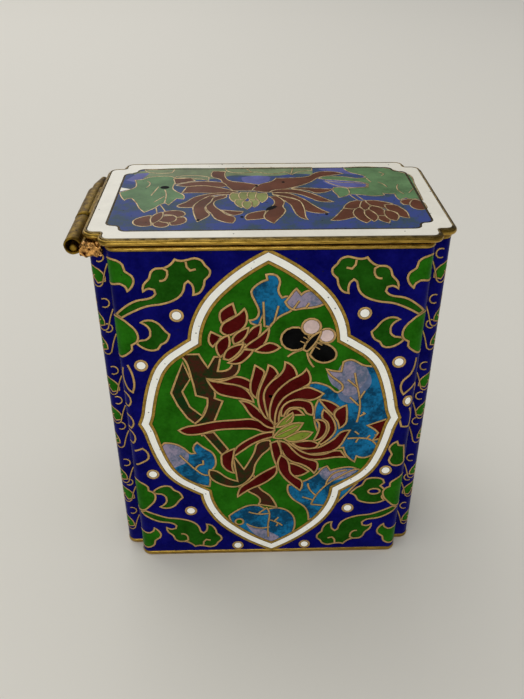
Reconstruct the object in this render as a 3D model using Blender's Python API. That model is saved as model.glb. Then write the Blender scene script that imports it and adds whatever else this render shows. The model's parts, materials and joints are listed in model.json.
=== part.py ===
"""A small upright box of enamelled metal with stepped corners, brass bands and a lid hinged at its left end.

The frame is the box's own: X along its width, Y front to back with the front at -Y, Z up.
The origin is the centre of the underside. All sizes are in metres.
"""

import math

import bmesh
import bpy
from mathutils import Matrix, Vector

# Enamelled case
CASE_WIDTH = 0.0660
CASE_DEPTH = 0.0395
CASE_HEIGHT = 0.0764
CASE_WALL = 0.0016
CASE_BASE = 0.0018
CASE_STEP = 0.0038
CASE_ROUNDING = 0.0020
STEP_FILLET = 0.0004

# Brass bands round the foot and the mouth
BAND_STAND = 0.00012
FOOT_HEIGHT = 0.0011
FOOT_WALL = 0.0007
MOUTH_HEIGHT = 0.0009

# Lid
LID_STEP = 0.0031
LID_ROUNDING = 0.0013
LID_OVERHANG = 0.00055
LID_BAND_HEIGHT = 0.00105
LID_BEAD_HEIGHT = 0.00025
LID_BEAD_WIDTH = 0.00045
LID_BEAD_INSET = 0.00009
LID_FLOOR = 0.0006

# Hinge
TUBE_RADIUS = 0.00165
TUBE_WALL = 0.00040
LID_TUBE_RADIUS = 0.00175
REAR_TUBE_RADIUS = 0.00130
REAR_TUBE_WALL = 0.00030
PIN_RADIUS = 0.00070
PIN_SHORT = 0.0004
HINGE_PAST_STEP = 0.00105
FRONT_TUBE_LENGTH = 0.0110
REAR_TUBE_LENGTH = 0.0086
LEAF_THICKNESS = 0.0011
SOLDER_WIDTH = 0.0038
SOLDER_DEPTH = 0.0015
SOLDER_HEIGHT = 0.0030

# Gap kept between pieces that touch or turn past each other
CLEARANCE = 0.0003

# How finely the round stretches are cut
CORNER_PIECES = 4
TUBE_SIDES = 32
LEAST_ROUNDING = 0.00015

# Levels and places that follow from the sizes
MOUTH_LOW = CASE_HEIGHT + CLEARANCE
MOUTH_TOP = MOUTH_LOW + MOUTH_HEIGHT
LID_LOW = MOUTH_TOP + CLEARANCE
LID_SHOULDER = LID_LOW + LID_BAND_HEIGHT
LID_TOP = LID_SHOULDER + LID_BEAD_HEIGHT
PANEL_GROWTH = LID_BEAD_INSET - LID_BEAD_WIDTH - CLEARANCE
HINGE_REACH = BAND_STAND + CLEARANCE + LID_TUBE_RADIUS
HINGE_X = -CASE_WIDTH / 2 - HINGE_REACH
HINGE_DROP = math.sqrt(max(0.0, (LID_TUBE_RADIUS + CLEARANCE) ** 2 - (HINGE_REACH - LID_OVERHANG) ** 2))
HINGE_Z = LID_LOW - HINGE_DROP
HINGE_REAR = CASE_DEPTH / 2 - CASE_STEP + HINGE_PAST_STEP
HINGE_FRONT = -HINGE_REAR
FRONT_TUBE_REAR = HINGE_FRONT + FRONT_TUBE_LENGTH
REAR_TUBE_FRONT = HINGE_REAR - REAR_TUBE_LENGTH
LID_TUBE_FRONT = FRONT_TUBE_REAR + CLEARANCE
LID_TUBE_REAR = REAR_TUBE_FRONT - CLEARANCE


def clear_scene():
    for obj in list(bpy.data.objects):
        bpy.data.objects.remove(obj)


def make_material(name, colour, roughness, metallic):
    material = bpy.data.materials.new(name)
    material.use_nodes = True
    shader = material.node_tree.nodes["Principled BSDF"]
    shader.inputs["Base Color"].default_value = (*colour, 1.0)
    shader.inputs["Roughness"].default_value = roughness
    shader.inputs["Metallic"].default_value = metallic
    return material


def rounded_corner(before, corner, after, radius):
    """Points of the arc that rounds one right-angled corner of an outline."""
    towards_before = (before - corner).normalized() * radius
    towards_after = (after - corner).normalized() * radius
    centre = corner + towards_before + towards_after
    points = []
    for piece in range(CORNER_PIECES + 1):
        angle = math.pi / 2 * piece / CORNER_PIECES
        points.append(centre - towards_after * math.cos(angle) - towards_before * math.sin(angle))
    return points


def stepped_outline(growth, step, rounding):
    """The plan outline, a rectangle whose corners step in, grown outwards all round by growth."""
    half_width = CASE_WIDTH / 2 + growth
    half_depth = CASE_DEPTH / 2 + growth
    outer_radius = max(rounding + growth, LEAST_ROUNDING)
    inner_radius = max(STEP_FILLET - growth, LEAST_ROUNDING)
    quarter = (
        (half_width, half_depth - step, outer_radius),
        (half_width - step, half_depth - step, inner_radius),
        (half_width - step, half_depth, outer_radius),
    )
    corners = []
    for sign_x, sign_y in ((1, 1), (-1, 1), (-1, -1), (1, -1)):
        order = quarter if sign_x * sign_y > 0 else quarter[::-1]
        corners += [(Vector((x * sign_x, y * sign_y)), radius) for x, y, radius in order]
    points = []
    for index, (corner, radius) in enumerate(corners):
        before = corners[index - 1][0]
        after = corners[(index + 1) % len(corners)][0]
        points += rounded_corner(before, corner, after, radius)
    return points


def first_loop(bm, outline, height):
    loop = [bm.verts.new((point.x, point.y, height)) for point in outline]
    for index, vert in enumerate(loop):
        bm.edges.new((loop[index - 1], vert))
    return loop


def extruded_loop(bm, loop, outline, height):
    """Extrudes the last loop of a wall to the next outline and height."""
    edges = [bm.edges.get((loop[index - 1], vert)) for index, vert in enumerate(loop)]
    made = bmesh.ops.extrude_edge_only(bm, edges=edges)
    new = {item for item in made["geom"] if isinstance(item, bmesh.types.BMVert)}
    following = [next(e.other_vert(v) for e in v.link_edges if e.other_vert(v) in new) for v in loop]
    for vert, point in zip(following, outline):
        vert.co = (point.x, point.y, height)
    return following


def finish_mesh(name, bm, material):
    bmesh.ops.remove_doubles(bm, verts=bm.verts, dist=1e-7)
    bmesh.ops.recalc_face_normals(bm, faces=bm.faces)
    mesh = bpy.data.meshes.new(name)
    bm.to_mesh(mesh)
    bm.free()
    mesh.shade_smooth()
    mesh.set_sharp_from_angle(angle=math.radians(35))
    mesh.materials.append(material)
    obj = bpy.data.objects.new(name, mesh)
    bpy.context.collection.objects.link(obj)
    return obj


def turned_wall(name, levels, step, rounding, material, closed_ring):
    """A solid whose side runs through levels of (growth, height), all on the stepped outline.

    A ring's last level goes back to its first, and any other solid is capped at both ends.
    """
    bm = bmesh.new()
    outlines = [stepped_outline(growth, step, rounding) for growth, height in levels]
    heights = [height for growth, height in levels]
    first = first_loop(bm, outlines[0], heights[0])
    loop = first
    for outline, height in zip(outlines[1:], heights[1:]):
        loop = extruded_loop(bm, loop, outline, height)
    if closed_ring:
        extruded_loop(bm, loop, outlines[0], heights[0])
    else:
        bm.faces.new(first)
        bm.faces.new(loop)
    return finish_mesh(name, bm, material)


def make_case(material):
    """The hollow case: its foot is cut back for the foot band, and its mouth is open."""
    foot_growth = -(FOOT_WALL - BAND_STAND + CLEARANCE)
    foot_shoulder = FOOT_HEIGHT + CLEARANCE
    levels = (
        (foot_growth, 0.0),
        (foot_growth, foot_shoulder),
        (0.0, foot_shoulder),
        (0.0, CASE_HEIGHT),
        (-CASE_WALL, CASE_HEIGHT),
        (-CASE_WALL, CASE_BASE),
    )
    return turned_wall("case", levels, CASE_STEP, CASE_ROUNDING, material, closed_ring=False)


def make_foot_band(material):
    inner = BAND_STAND - FOOT_WALL
    edge = FOOT_HEIGHT * 0.18
    levels = (
        (inner, 0.0),
        (BAND_STAND - edge, 0.0),
        (BAND_STAND, edge),
        (BAND_STAND, FOOT_HEIGHT - edge),
        (BAND_STAND - edge, FOOT_HEIGHT),
        (inner, FOOT_HEIGHT),
    )
    return turned_wall("foot_band", levels, CASE_STEP, CASE_ROUNDING, material, closed_ring=True)


def make_mouth_band(material):
    """The band that tops the case's wall. Its outer side is a low round."""
    levels = [(-CASE_WALL, MOUTH_LOW)]
    round_depth = MOUTH_HEIGHT * 0.35
    pieces = 4
    for piece in range(pieces + 1):
        angle = math.pi * (piece / pieces - 0.5)
        growth = BAND_STAND - round_depth * (1 - math.cos(angle))
        levels.append((growth, MOUTH_LOW + MOUTH_HEIGHT * (0.5 + 0.5 * math.sin(angle))))
    levels.append((-CASE_WALL, MOUTH_TOP))
    return turned_wall("mouth_band", levels, CASE_STEP, CASE_ROUNDING, material, closed_ring=True)


def make_lid_frame(material):
    """The lid's brass tray: a half-round band outside, a groove, and a bead that holds the enamel."""
    bead_outer = LID_BEAD_INSET
    bead_inner = bead_outer - LID_BEAD_WIDTH
    levels = []
    round_depth = LID_OVERHANG - bead_outer
    pieces = 4
    for piece in range(pieces + 1):
        angle = math.pi * (piece / pieces - 0.5)
        growth = bead_outer + round_depth * math.cos(angle)
        levels.append((growth, LID_LOW + LID_BAND_HEIGHT * (0.5 + 0.5 * math.sin(angle))))
    levels.append((bead_outer, LID_TOP - LID_BEAD_WIDTH * 0.25))
    levels.append((bead_outer - LID_BEAD_WIDTH * 0.25, LID_TOP))
    levels.append((bead_inner, LID_TOP))
    levels.append((bead_inner, LID_LOW + LID_FLOOR))
    return turned_wall("lid_frame", levels, LID_STEP, LID_ROUNDING, material, closed_ring=False)


def make_lid_panel(material):
    """The enamel slab that lies in the lid's tray, its face level with the bead."""
    low = LID_LOW + LID_FLOOR + CLEARANCE
    levels = ((PANEL_GROWTH, low), (PANEL_GROWTH, LID_TOP))
    return turned_wall("lid_panel", levels, LID_STEP, LID_ROUNDING, material, closed_ring=False)


def hinge_cylinder(name, radius, front, rear, material):
    """A cylinder along the hinge's axis, with its origin on the axis."""
    bm = bmesh.new()
    turn = Matrix.Rotation(math.pi / 2, 4, "X")
    middle = Matrix.Translation((0.0, (front + rear) / 2, 0.0))
    bmesh.ops.create_cone(
        bm,
        cap_ends=True,
        segments=TUBE_SIDES,
        radius1=radius,
        radius2=radius,
        depth=rear - front,
        matrix=middle @ turn,
    )
    obj = finish_mesh(name, bm, material)
    obj.location = (HINGE_X, 0.0, HINGE_Z)
    return obj


def hinge_block(name, low, high, material):
    """A block between two corners, given from the hinge's axis."""
    bm = bmesh.new()
    size = high - low
    matrix = Matrix.Translation((low + high) / 2) @ Matrix.Diagonal((*size, 1.0))
    bmesh.ops.create_cube(bm, size=1.0, matrix=matrix)
    obj = finish_mesh(name, bm, material)
    obj.location = (HINGE_X, 0.0, HINGE_Z)
    return obj


def apply_tool(target, tool, operation):
    """Joins a tool to the target or cuts it away, as a live modifier."""
    tool.hide_render = True
    tool.display_type = "WIRE"
    modifier = target.modifiers.new(tool.name, "BOOLEAN")
    modifier.operation = operation
    modifier.object = tool


def make_knuckle(name, radius, wall, front, rear, leaf_low, leaf_high, material):
    """One tube of the hinge, with the leaf that fixes it, bored for the pin."""
    tube = hinge_cylinder(name, radius, front, rear, material)
    leaf = hinge_block(f"{name}_leaf", leaf_low, leaf_high, material)
    apply_tool(tube, leaf, "UNION")
    past = CLEARANCE
    bore = hinge_cylinder(f"{name}_bore", radius - wall, front - past, rear + past, material)
    apply_tool(tube, bore, "DIFFERENCE")
    return tube


def make_solder(material):
    """The rough lump of solder that fixes the front tube to the case's stepped corner."""
    bm = bmesh.new()
    bmesh.ops.create_icosphere(bm, subdivisions=2, radius=0.5)
    for vert in bm.verts:
        wave = math.sin(9 * vert.co.x + 1.0) * math.sin(8 * vert.co.z + 2.0)
        vert.co *= 1.0 - 0.12 * (0.5 + 0.5 * wave)
    bmesh.ops.scale(bm, verts=bm.verts, vec=(SOLDER_WIDTH, SOLDER_DEPTH, SOLDER_HEIGHT))
    obj = finish_mesh("front_tube_solder", bm, material)
    step_face = CASE_DEPTH / 2 - CASE_STEP + BAND_STAND
    from_axis = HINGE_X + TUBE_RADIUS * 0.7
    obj.location = (
        from_axis + SOLDER_WIDTH / 2,
        -step_face - CLEARANCE - SOLDER_DEPTH / 2,
        LID_LOW - CLEARANCE - SOLDER_HEIGHT / 2,
    )
    return obj


def make_hinge(brass, copper):
    """Three tubes on one pin: the front and rear ones are fixed to the case, the middle one to the lid."""
    case_leaf_reach = HINGE_REACH - BAND_STAND - CLEARANCE
    lid_leaf_reach = HINGE_REACH - LID_OVERHANG - CLEARANCE
    half_leaf = LEAF_THICKNESS / 2
    leaf_end = CASE_DEPTH / 2 - CASE_STEP - CASE_ROUNDING

    front = make_knuckle(
        "front_knuckle",
        TUBE_RADIUS,
        TUBE_WALL,
        HINGE_FRONT,
        FRONT_TUBE_REAR,
        Vector((0.0, -leaf_end, -half_leaf)),
        Vector((case_leaf_reach, FRONT_TUBE_REAR, half_leaf)),
        brass,
    )
    apply_tool(front, make_solder(copper), "UNION")
    make_knuckle(
        "lid_knuckle",
        LID_TUBE_RADIUS,
        TUBE_WALL,
        LID_TUBE_FRONT,
        LID_TUBE_REAR,
        Vector((0.0, LID_TUBE_FRONT, 0.0)),
        Vector((lid_leaf_reach, LID_TUBE_REAR, HINGE_DROP + LID_BAND_HEIGHT / 2)),
        brass,
    )
    make_knuckle(
        "rear_knuckle",
        REAR_TUBE_RADIUS,
        REAR_TUBE_WALL,
        REAR_TUBE_FRONT,
        HINGE_REAR,
        Vector((0.0, REAR_TUBE_FRONT, -half_leaf)),
        Vector((case_leaf_reach, leaf_end, half_leaf)),
        brass,
    )
    hinge_cylinder("hinge_pin", PIN_RADIUS, HINGE_FRONT + PIN_SHORT, HINGE_REAR - PIN_SHORT, brass)


def main():
    clear_scene()
    enamel = make_material("cobalt_enamel", (0.006, 0.007, 0.130), 0.12, 0.0)
    lid_enamel = make_material("lid_enamel", (0.075, 0.095, 0.240), 0.15, 0.0)
    brass = make_material("aged_brass", (0.420, 0.290, 0.110), 0.38, 1.0)
    copper = make_material("copper_solder", (0.520, 0.230, 0.110), 0.45, 1.0)
    make_case(enamel)
    make_foot_band(brass)
    make_mouth_band(brass)
    make_lid_frame(brass)
    make_lid_panel(lid_enamel)
    make_hinge(brass, copper)


main()
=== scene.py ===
"""An upright cloisonne enamel box with stepped corners, brass bands and a lid hinged at its left end.

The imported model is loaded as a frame. The case and the lid get their enamels and brass wires here, the
bands and the hinge get their worn brass, and a pale floor with soft light stands in for the studio.

The ornament is drawn flat, in millimetres, as enamel cells and wires laid one over the other. The drawing
is cut along all its edges and wrapped round the case, or laid in the lid.
"""

import json
import math
from bisect import bisect_right

import bmesh
import bpy
import numpy as np
from bpy.props import FloatProperty, FloatVectorProperty, IntProperty, PointerProperty
from mathutils import Matrix, Vector, noise
from mathutils.geometry import delaunay_2d_cdt


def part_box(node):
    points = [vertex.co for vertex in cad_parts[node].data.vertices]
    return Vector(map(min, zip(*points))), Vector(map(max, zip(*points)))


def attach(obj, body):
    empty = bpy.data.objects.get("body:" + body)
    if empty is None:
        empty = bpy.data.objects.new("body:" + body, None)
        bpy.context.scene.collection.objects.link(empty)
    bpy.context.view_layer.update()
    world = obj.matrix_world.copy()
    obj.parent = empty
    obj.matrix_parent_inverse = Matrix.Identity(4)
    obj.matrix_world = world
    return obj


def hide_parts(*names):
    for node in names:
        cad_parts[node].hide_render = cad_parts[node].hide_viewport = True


bl_info = {
    "name": "Cloisonne Enamel Box",
    "version": (1, 0, 0),
    "blender": (4, 5, 0),
    "location": "3D View > Sidebar > Enamel Box",
    "description": "Enamels, brass and hinge of an upright cloisonne box, with a plain studio",
    "category": "Mesh",
}

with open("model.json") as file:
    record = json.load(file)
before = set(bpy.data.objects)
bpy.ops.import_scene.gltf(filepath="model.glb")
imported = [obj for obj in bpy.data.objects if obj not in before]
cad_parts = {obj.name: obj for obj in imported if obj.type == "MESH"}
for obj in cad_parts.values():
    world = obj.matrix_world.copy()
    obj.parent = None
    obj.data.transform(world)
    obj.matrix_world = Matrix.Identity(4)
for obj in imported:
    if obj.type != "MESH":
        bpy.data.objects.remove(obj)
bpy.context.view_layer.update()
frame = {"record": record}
CASE_LOW, CASE_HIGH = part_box("case")
MOUTH_LOW, MOUTH_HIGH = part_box("mouth_band")
FOOT_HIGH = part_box("foot_band")[1]
LID_LOW, LID_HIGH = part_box("lid_frame")
PANEL_LOW, PANEL_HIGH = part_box("lid_panel")
HINGE = Vector(frame["record"]["behaviour"]["joints"][0]["pos_m"])

MM = 0.001
# The middle of the quatrefoil panels above the floor, in millimetres.
PANEL_MIDDLE = 38.8
# The places of the brass work's finishes in its list of materials. The second is dark brass: grime with
# painted shade, for the grooves and the faces hidden between parts.
BRASS, GRIME_AND_SHADE, BEAD, COUNTER = range(4)
# How far the hinge's plates stop short of the tubes' outer ends.
LEAF_INSET = 0.0003


def linear(hex_colour):
    """An sRGB colour such as "#1a5a00" as linear red, green and blue."""
    channels = [int(hex_colour[at : at + 2], 16) / 255 for at in (1, 3, 5)]
    return tuple(c / 12.92 if c <= 0.04045 else ((c + 0.055) / 1.055) ** 2.4 for c in channels)


def colour_property(name, description, hex_colour):
    """A colour that the user can change, given as sRGB hex."""
    return FloatVectorProperty(
        name=name, description=description, default=linear(hex_colour), subtype="COLOR", min=0.0, max=1.0
    )


def length_property(name, description, metres):
    """A length that the user can change, given in metres."""
    return FloatProperty(
        name=name, description=description, default=metres, min=0.0, unit="LENGTH", precision=5
    )


def strength_property(name, description, value, unit="NONE"):
    """A strength of light that the user can change."""
    return FloatProperty(name=name, description=description, default=value, min=0.0, unit=unit)


def angle_property(name, description, degrees):
    """An angle that the user can change, given in degrees."""
    radians = math.radians(degrees)
    return FloatProperty(name=name, description=description, default=radians, subtype="ANGLE")


class EnamelBoxSizes(bpy.types.PropertyGroup):
    """Sizes of the case, the lid and the wires"""

    step: length_property("Corner step", "How far each corner of the case steps in", 0.0038)
    rounding: length_property("Corner rounding", "Radius of the case's outer corners", 0.0020)
    fillet: length_property("Step fillet", "Radius in the angle of each step", 0.0004)
    wall: length_property("Wall", "Thickness of the case's wall", 0.0016)
    base: length_property("Base", "Thickness of the case's base", 0.0018)
    tuck: length_property("Foot tuck", "How far the case turns in behind the foot's band", 0.00056)
    lid_step: length_property("Lid step", "How far each corner of the lid's enamel steps in", 0.0031)
    lid_rounding: length_property("Lid rounding", "Radius of the lid's outer corners", 0.0017)
    lid_fillet: length_property("Lid fillet", "Radius in the angle of each step of the lid", 0.0005)
    lid_bead: length_property("Lid bead", "Width of the bead round the lid's enamel", 0.00045)
    lid_border: length_property("Lid border", "Width of the white border on the lid", 0.0030)
    lid_notch: length_property("Lid notch", "Size of the notches in the corners of the lid's field", 0.0026)
    wire: length_property("Wire", "Width of the brass wires between the enamels", 0.00039)
    lid_wire: length_property("Lid wire", "Width of the finer wires in the lid", 0.00023)
    border_wire: length_property("Border wire", "Width of the wires beside the white bands", 0.00055)
    wire_crown: length_property("Wire crown", "How far the middle of a wire stands above the enamel", 0.00004)
    white_band: length_property("White band", "Width of the white band round each panel", 0.0015)
    arc_pieces: IntProperty(name="Arc pieces", description="Pieces in each rounded corner", default=6, min=2)


class EnamelBoxHingeSizes(bpy.types.PropertyGroup):
    """Sizes of the hinge"""

    radius: length_property("Front tube radius", "Radius of the front hinge tube", 0.00165)
    wall: length_property("Tube wall", "Thickness of the rolled tubes", 0.00040)
    half_length: length_property("Half length", "Half of the hinge's whole length", 0.0170)
    leaf: length_property("Leaf", "Thickness of the plates that join the tubes to the case", 0.0011)
    pin: length_property("Pin radius", "Radius of the hinge pin", 0.0007)
    solder: length_property("Solder height", "Height of the solder lump", 0.0030)
    pinched: length_property("Pinched end", "Length of the pinched end of the rear tube", 0.0050)


class EnamelBoxColours(bpy.types.PropertyGroup):
    """Colours of the case's enamels and of the brass"""

    cobalt: colour_property("Cobalt", "Ground of the case", "#000054")
    green: colour_property("Green", "Ground of the panels", "#1b5a03")
    leaf: colour_property("Leaf green", "Scrolls of leaves", "#144802")
    white: colour_property("White", "Bands and dots", "#f0eee2")
    maroon: colour_property("Maroon", "Chrysanthemum and bud", "#480403")
    teal: colour_property("Teal", "Blue part of the leaves", "#0c5a80")
    lilac: colour_property("Lilac", "Greyed part of the leaves", "#7e7484")
    lime: colour_property("Lime", "Heart of the flower", "#74842c")
    branch: colour_property("Branch", "Branches", "#36160a")
    black: colour_property("Black", "Butterfly's wings", "#020202")
    blush: colour_property("Blush", "Butterfly's spots", "#c8b0a8")
    wire: colour_property("Wire", "Brass wires, stoned flat", "#d6b276")
    brass: colour_property("Brass", "Bands and rims", "#c09c48")
    tube: colour_property("Tube", "Rubbed parts of the hinge tubes", "#987a2c")
    patina: colour_property("Patina", "Brown patina on the hinge", "#5c451a")
    copper: colour_property("Copper", "Solder and bare copper", "#f0b468")


class EnamelBoxStudio(bpy.types.PropertyGroup):
    """The floor, the camera and the lights"""

    floor: colour_property("Floor", "Floor and backdrop", "#d6d1c4")
    lens: FloatProperty(name="Lens", description="Focal length in millimetres", default=37.15, min=1.0)
    pitch: angle_property("Pitch", "Camera's tilt down", 32.895)
    yaw: angle_property("Yaw", "Camera's turn to the right", 1.478)
    world: strength_property("Even light", "Strength of the even light all round", 0.64)
    mirrored: strength_property("Mirrored", "Share of the even light that gloss mirrors", 0.25)
    window: strength_property("Window", "Light from behind on the left", 5.0, "POWER")
    room: strength_property("Room", "Soft light from above", 2.2, "POWER")
    front: strength_property("Front", "Weak light from the front", 1.8, "POWER")


def add_node(tree, kind, settings=None, links=None):
    """Adds one node. Settings are its properties or, by socket name or number, its inputs' values."""
    node = tree.nodes.new(kind)
    for name, value in (settings or {}).items():
        if isinstance(name, int) or name in node.inputs:
            node.inputs[name].default_value = value
        else:
            setattr(node, name, value)
    for socket, source in (links or {}).items():
        tree.links.new(source, node.inputs[socket])
    return node


def new_material(name):
    """An empty node material and its tree."""
    material = bpy.data.materials.new(name)
    material.use_nodes = True
    material.node_tree.nodes.clear()
    return material, material.node_tree


def pitted(tree, place, colour, dirt, apart, core, rim, depth):
    """Small round pits full of dirt over a colour: the new colour, and the pits as a mask.

    The pits lie that many millimetres apart, and core and rim are the radii of their floor and their edge.
    """
    cells = add_node(tree, "ShaderNodeTexVoronoi", {"Scale": 1 / (apart * MM)}, {"Vector": place})
    ranges = {"From Min": core / apart, "From Max": rim / apart, "To Min": depth, "To Max": 0.0}
    pits = add_node(tree, "ShaderNodeMapRange", ranges, {"Value": cells.outputs["Distance"]})
    mask = pits.outputs["Result"]
    filled = add_node(tree, "ShaderNodeMix", {"data_type": "RGBA", 7: (*dirt, 1.0)}, {0: mask, 6: colour})
    return filled.outputs[2], mask


def surfaced(tree, colour, grain, rough, height, pits, relief, settings):
    """Joins a colour, a range of roughness and a relief of (strength, millimetres) to the shader."""
    ranges = {"From Min": 0.3, "From Max": 0.7, "To Min": rough[0], "To Max": rough[1]}
    roughness = add_node(tree, "ShaderNodeMapRange", ranges, {"Value": grain})
    sunk = add_node(tree, "ShaderNodeMath", {"operation": "SUBTRACT"}, {0: height, 1: pits})
    depth = {"Strength": relief[0], "Distance": relief[1] * MM}
    bump = add_node(tree, "ShaderNodeBump", depth, {"Height": sunk.outputs[0]})
    links = {"Base Color": colour, "Roughness": roughness.outputs["Result"], "Normal": bump.outputs["Normal"]}
    shader = add_node(tree, "ShaderNodeBsdfPrincipled", settings, links)
    add_node(tree, "ShaderNodeOutputMaterial", {}, {"Surface": shader.outputs["BSDF"]})


def enamel(name, colour, shine=0.5, pooling=0.35, pits=1.0, gloss=0.12, fleck=None, apart=2.2):
    """Vitreous enamel: glass fused on copper and stoned flush with the wires.

    The eye sees a deep even colour that pools a little darker and lighter over a few millimetres, a gloss
    with a faint waviness from the stoning, and a few pin pits, that many millimetres apart. A fleck is a
    second colour that it runs into.
    """
    material, tree = new_material(name)
    place = add_node(tree, "ShaderNodeTexCoord").outputs["Object"]
    # Colour pools over about 5 mm, the grains of the frit are about 0.5 mm, and the stoning waves over 3 mm.
    pooled = {"Scale": 1 / (5 * MM), "Detail": 3.0, "Roughness": 0.6}
    pool = add_node(tree, "ShaderNodeTexNoise", pooled, {"Vector": place})
    grain = add_node(tree, "ShaderNodeTexNoise", {"Scale": 1 / (0.5 * MM), "Detail": 2.0}, {"Vector": place})
    wave = add_node(tree, "ShaderNodeTexNoise", {"Scale": 1 / (3 * MM), "Detail": 1.0}, {"Vector": place})
    mixed = add_node(
        tree,
        "ShaderNodeMix",
        {"data_type": "FLOAT", "Factor": 0.3},
        {2: pool.outputs["Fac"], 3: grain.outputs["Fac"]},
    )
    dark = fleck or [c * (1 - pooling) for c in colour]
    light = [min(1.0, c * (1 + pooling) + 0.01 * pooling) for c in colour]
    spread = 0.07 if fleck else 0.16
    tone = add_node(tree, "ShaderNodeValToRGB", {}, {"Fac": mixed.outputs[0]})
    for stop, position, shade in zip(tone.color_ramp.elements, (0.5 - spread, 0.5 + spread), (dark, light)):
        stop.position, stop.color = position, (*shade, 1.0)
    # Pin pits of about 0.3 mm across.
    dirt = (0.012, 0.010, 0.008)
    tone, holes = pitted(tree, place, tone.outputs["Color"], dirt, apart, 0.11, 0.19, 0.8 * pits)
    surfaced(
        tree, tone, grain.outputs["Fac"], (gloss, gloss + 0.12), wave.outputs["Fac"], holes, (0.25, 0.03),
        {"IOR": 1.5, "Specular IOR Level": shine},
    )
    return material


def worn_brass(name, bright, dull, rough=(0.5, 0.7), patch=1.5, dents=0.4, streaks=1.0, pits=0.0):
    """Worn brass: rolled or drawn metal, rubbed bright where it is touched and dull brown elsewhere.

    Patch is the size of the tarnish in millimetres, and streaks says how many times finer it is upwards than
    along, as filing and polishing leave it on a band.
    """
    material, tree = new_material(name)
    place = add_node(tree, "ShaderNodeTexCoord").outputs["Object"]
    stretched = add_node(tree, "ShaderNodeMapping", {"Scale": (1.0, 1.0, streaks)}, {"Vector": place})
    drawn = {"Vector": stretched.outputs["Vector"]}
    tarnish = {"Scale": 1 / (patch * MM), "Detail": 5.0, "Roughness": 0.65}
    patches = add_node(tree, "ShaderNodeTexNoise", tarnish, drawn)
    # Specks and file marks of about 0.35 mm.
    specks = add_node(tree, "ShaderNodeTexNoise", {"Scale": 1 / (0.35 * MM), "Detail": 3.0}, drawn)
    marks = specks.outputs["Fac"]
    tone = add_node(tree, "ShaderNodeValToRGB", {}, {"Fac": patches.outputs["Fac"]})
    for stop, position, shade in zip(tone.color_ramp.elements, (0.36, 0.6), (dull, bright)):
        stop.position, stop.color = position, (*shade, 1.0)
    # Corrosion pits of about 0.4 mm across, one in every 1.4 mm.
    dirt = (0.02, 0.010, 0.004)
    tone, holes = pitted(tree, place, tone.outputs["Color"], dirt, 1.4, 0.14, 0.252, pits)
    surfaced(tree, tone, marks, rough, marks, holes, (dents, 0.05), {"Metallic": 1.0})
    return material


class SteppedPlan:
    """The outline of the box in plan, with stepped, rounded corners, from the front's middle towards +X."""

    def __init__(self, half_width, half_depth, step, rounding, fillet, pieces):
        arcs = (
            ((half_width - step - rounding, rounding - half_depth), rounding, (-90, 0)),
            ((half_width - step + fillet, step - fillet - half_depth), -fillet, (0, -90)),
            ((half_width - rounding, step + rounding - half_depth), rounding, (-90, 0)),
        )
        # Each knot is a point, its outward direction, and where it goes once an inner corner has closed up.
        quarter = [(Vector((0, -half_depth)), Vector((0, -1)), Vector((0, -1)))]
        for centre, radius, (first, last) in arcs:
            for piece in range(pieces + 1):
                angle = math.radians(first + (last - first) * piece / pieces)
                outward = Vector((math.cos(angle), math.sin(angle)))
                closed = Vector((1, -1)) if radius < 0 else outward
                quarter.append((Vector(centre) + outward * radius, outward, closed))
        quarter.append((Vector((half_width, 0)), Vector((1, 0)), Vector((1, 0))))
        behind = [tuple(Vector((v.x, -v.y)) for v in knot) for knot in quarter[-2::-1]]
        half = quarter + behind
        self.knots = half + [tuple(-v for v in knot) for knot in half[1:]]
        self.fillet = fillet
        self.stations = [0.0]
        for before, after in zip(self.knots, self.knots[1:]):
            self.stations.append(self.stations[-1] + (after[0] - before[0]).length)
        self.length = self.stations[-1]
        self.bends = [
            station
            for station, knot in zip(self.stations, self.knots)
            if 0.0 < station < self.length and (abs(knot[1].x) > 1e-6 or abs(knot[1].y) < 1)
        ]

    def grown(self, knot, growth):
        """A knot grown outwards. An inner corner keeps a mitre once its rounding has closed up."""
        point, outward, closed = knot
        within = min(growth, self.fillet)
        return point + outward * within + closed * (growth - within)

    def place(self, station, height, growth=0.0):
        """The point at that station along the outline, grown outwards."""
        station %= self.length
        index = min(bisect_right(self.stations, station), len(self.stations) - 1)
        share = (station - self.stations[index - 1]) / (self.stations[index] - self.stations[index - 1])
        ends = [self.grown(knot, growth) for knot in self.knots[index - 1 : index + 1]]
        point = ends[0].lerp(ends[1], share)
        return Vector((point.x, point.y, height))

    def loop(self, growth=0.0):
        """The whole outline as plain points, grown outwards."""
        return [self.grown(knot, growth) for knot in self.knots[:-1]]


def smooth_curve(points, closed=True, spacing=0.68, sharpest=58.0):
    """A flowing curve through the points. A turn sharper than that many degrees stays a corner."""
    line = [Vector(point) for point in points]
    count = len(line)
    spans = count if closed else count - 1
    directions = []
    for index in range(count):
        if not closed and index in (0, count - 1):
            directions.append(None)
            continue
        before = line[index] - line[index - 1]
        after = line[(index + 1) % count] - line[index]
        turn = math.degrees(abs(before.angle_signed(after, 0.0))) if before.length and after.length else 0.0
        along = (before.normalized() + after.normalized()).normalized()
        directions.append(None if turn > sharpest else along)
    result = []
    for index in range(spans):
        first, last = line[index], line[(index + 1) % count]
        chord = last - first
        start, end = directions[index], directions[(index + 1) % count]
        straight = chord.normalized()
        if start is None and end is not None:
            start = (straight * 2 - end).normalized()
        if end is None and start is not None:
            end = (straight * 2 - start).normalized()
        start = (start or straight) * chord.length
        end = (end or straight) * chord.length
        curved = directions[index] or directions[(index + 1) % count]
        pieces = max(1, round(chord.length / spacing)) if curved or not closed else 1
        for piece in range(pieces):
            t = piece / pieces
            result.append(
                first * (2 * t**3 - 3 * t**2 + 1)
                + start * (t**3 - 2 * t**2 + t)
                + last * (3 * t**2 - 2 * t**3)
                + end * (t**3 - t**2)
            )
    if not closed:
        result.append(line[-1])
    return result


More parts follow.
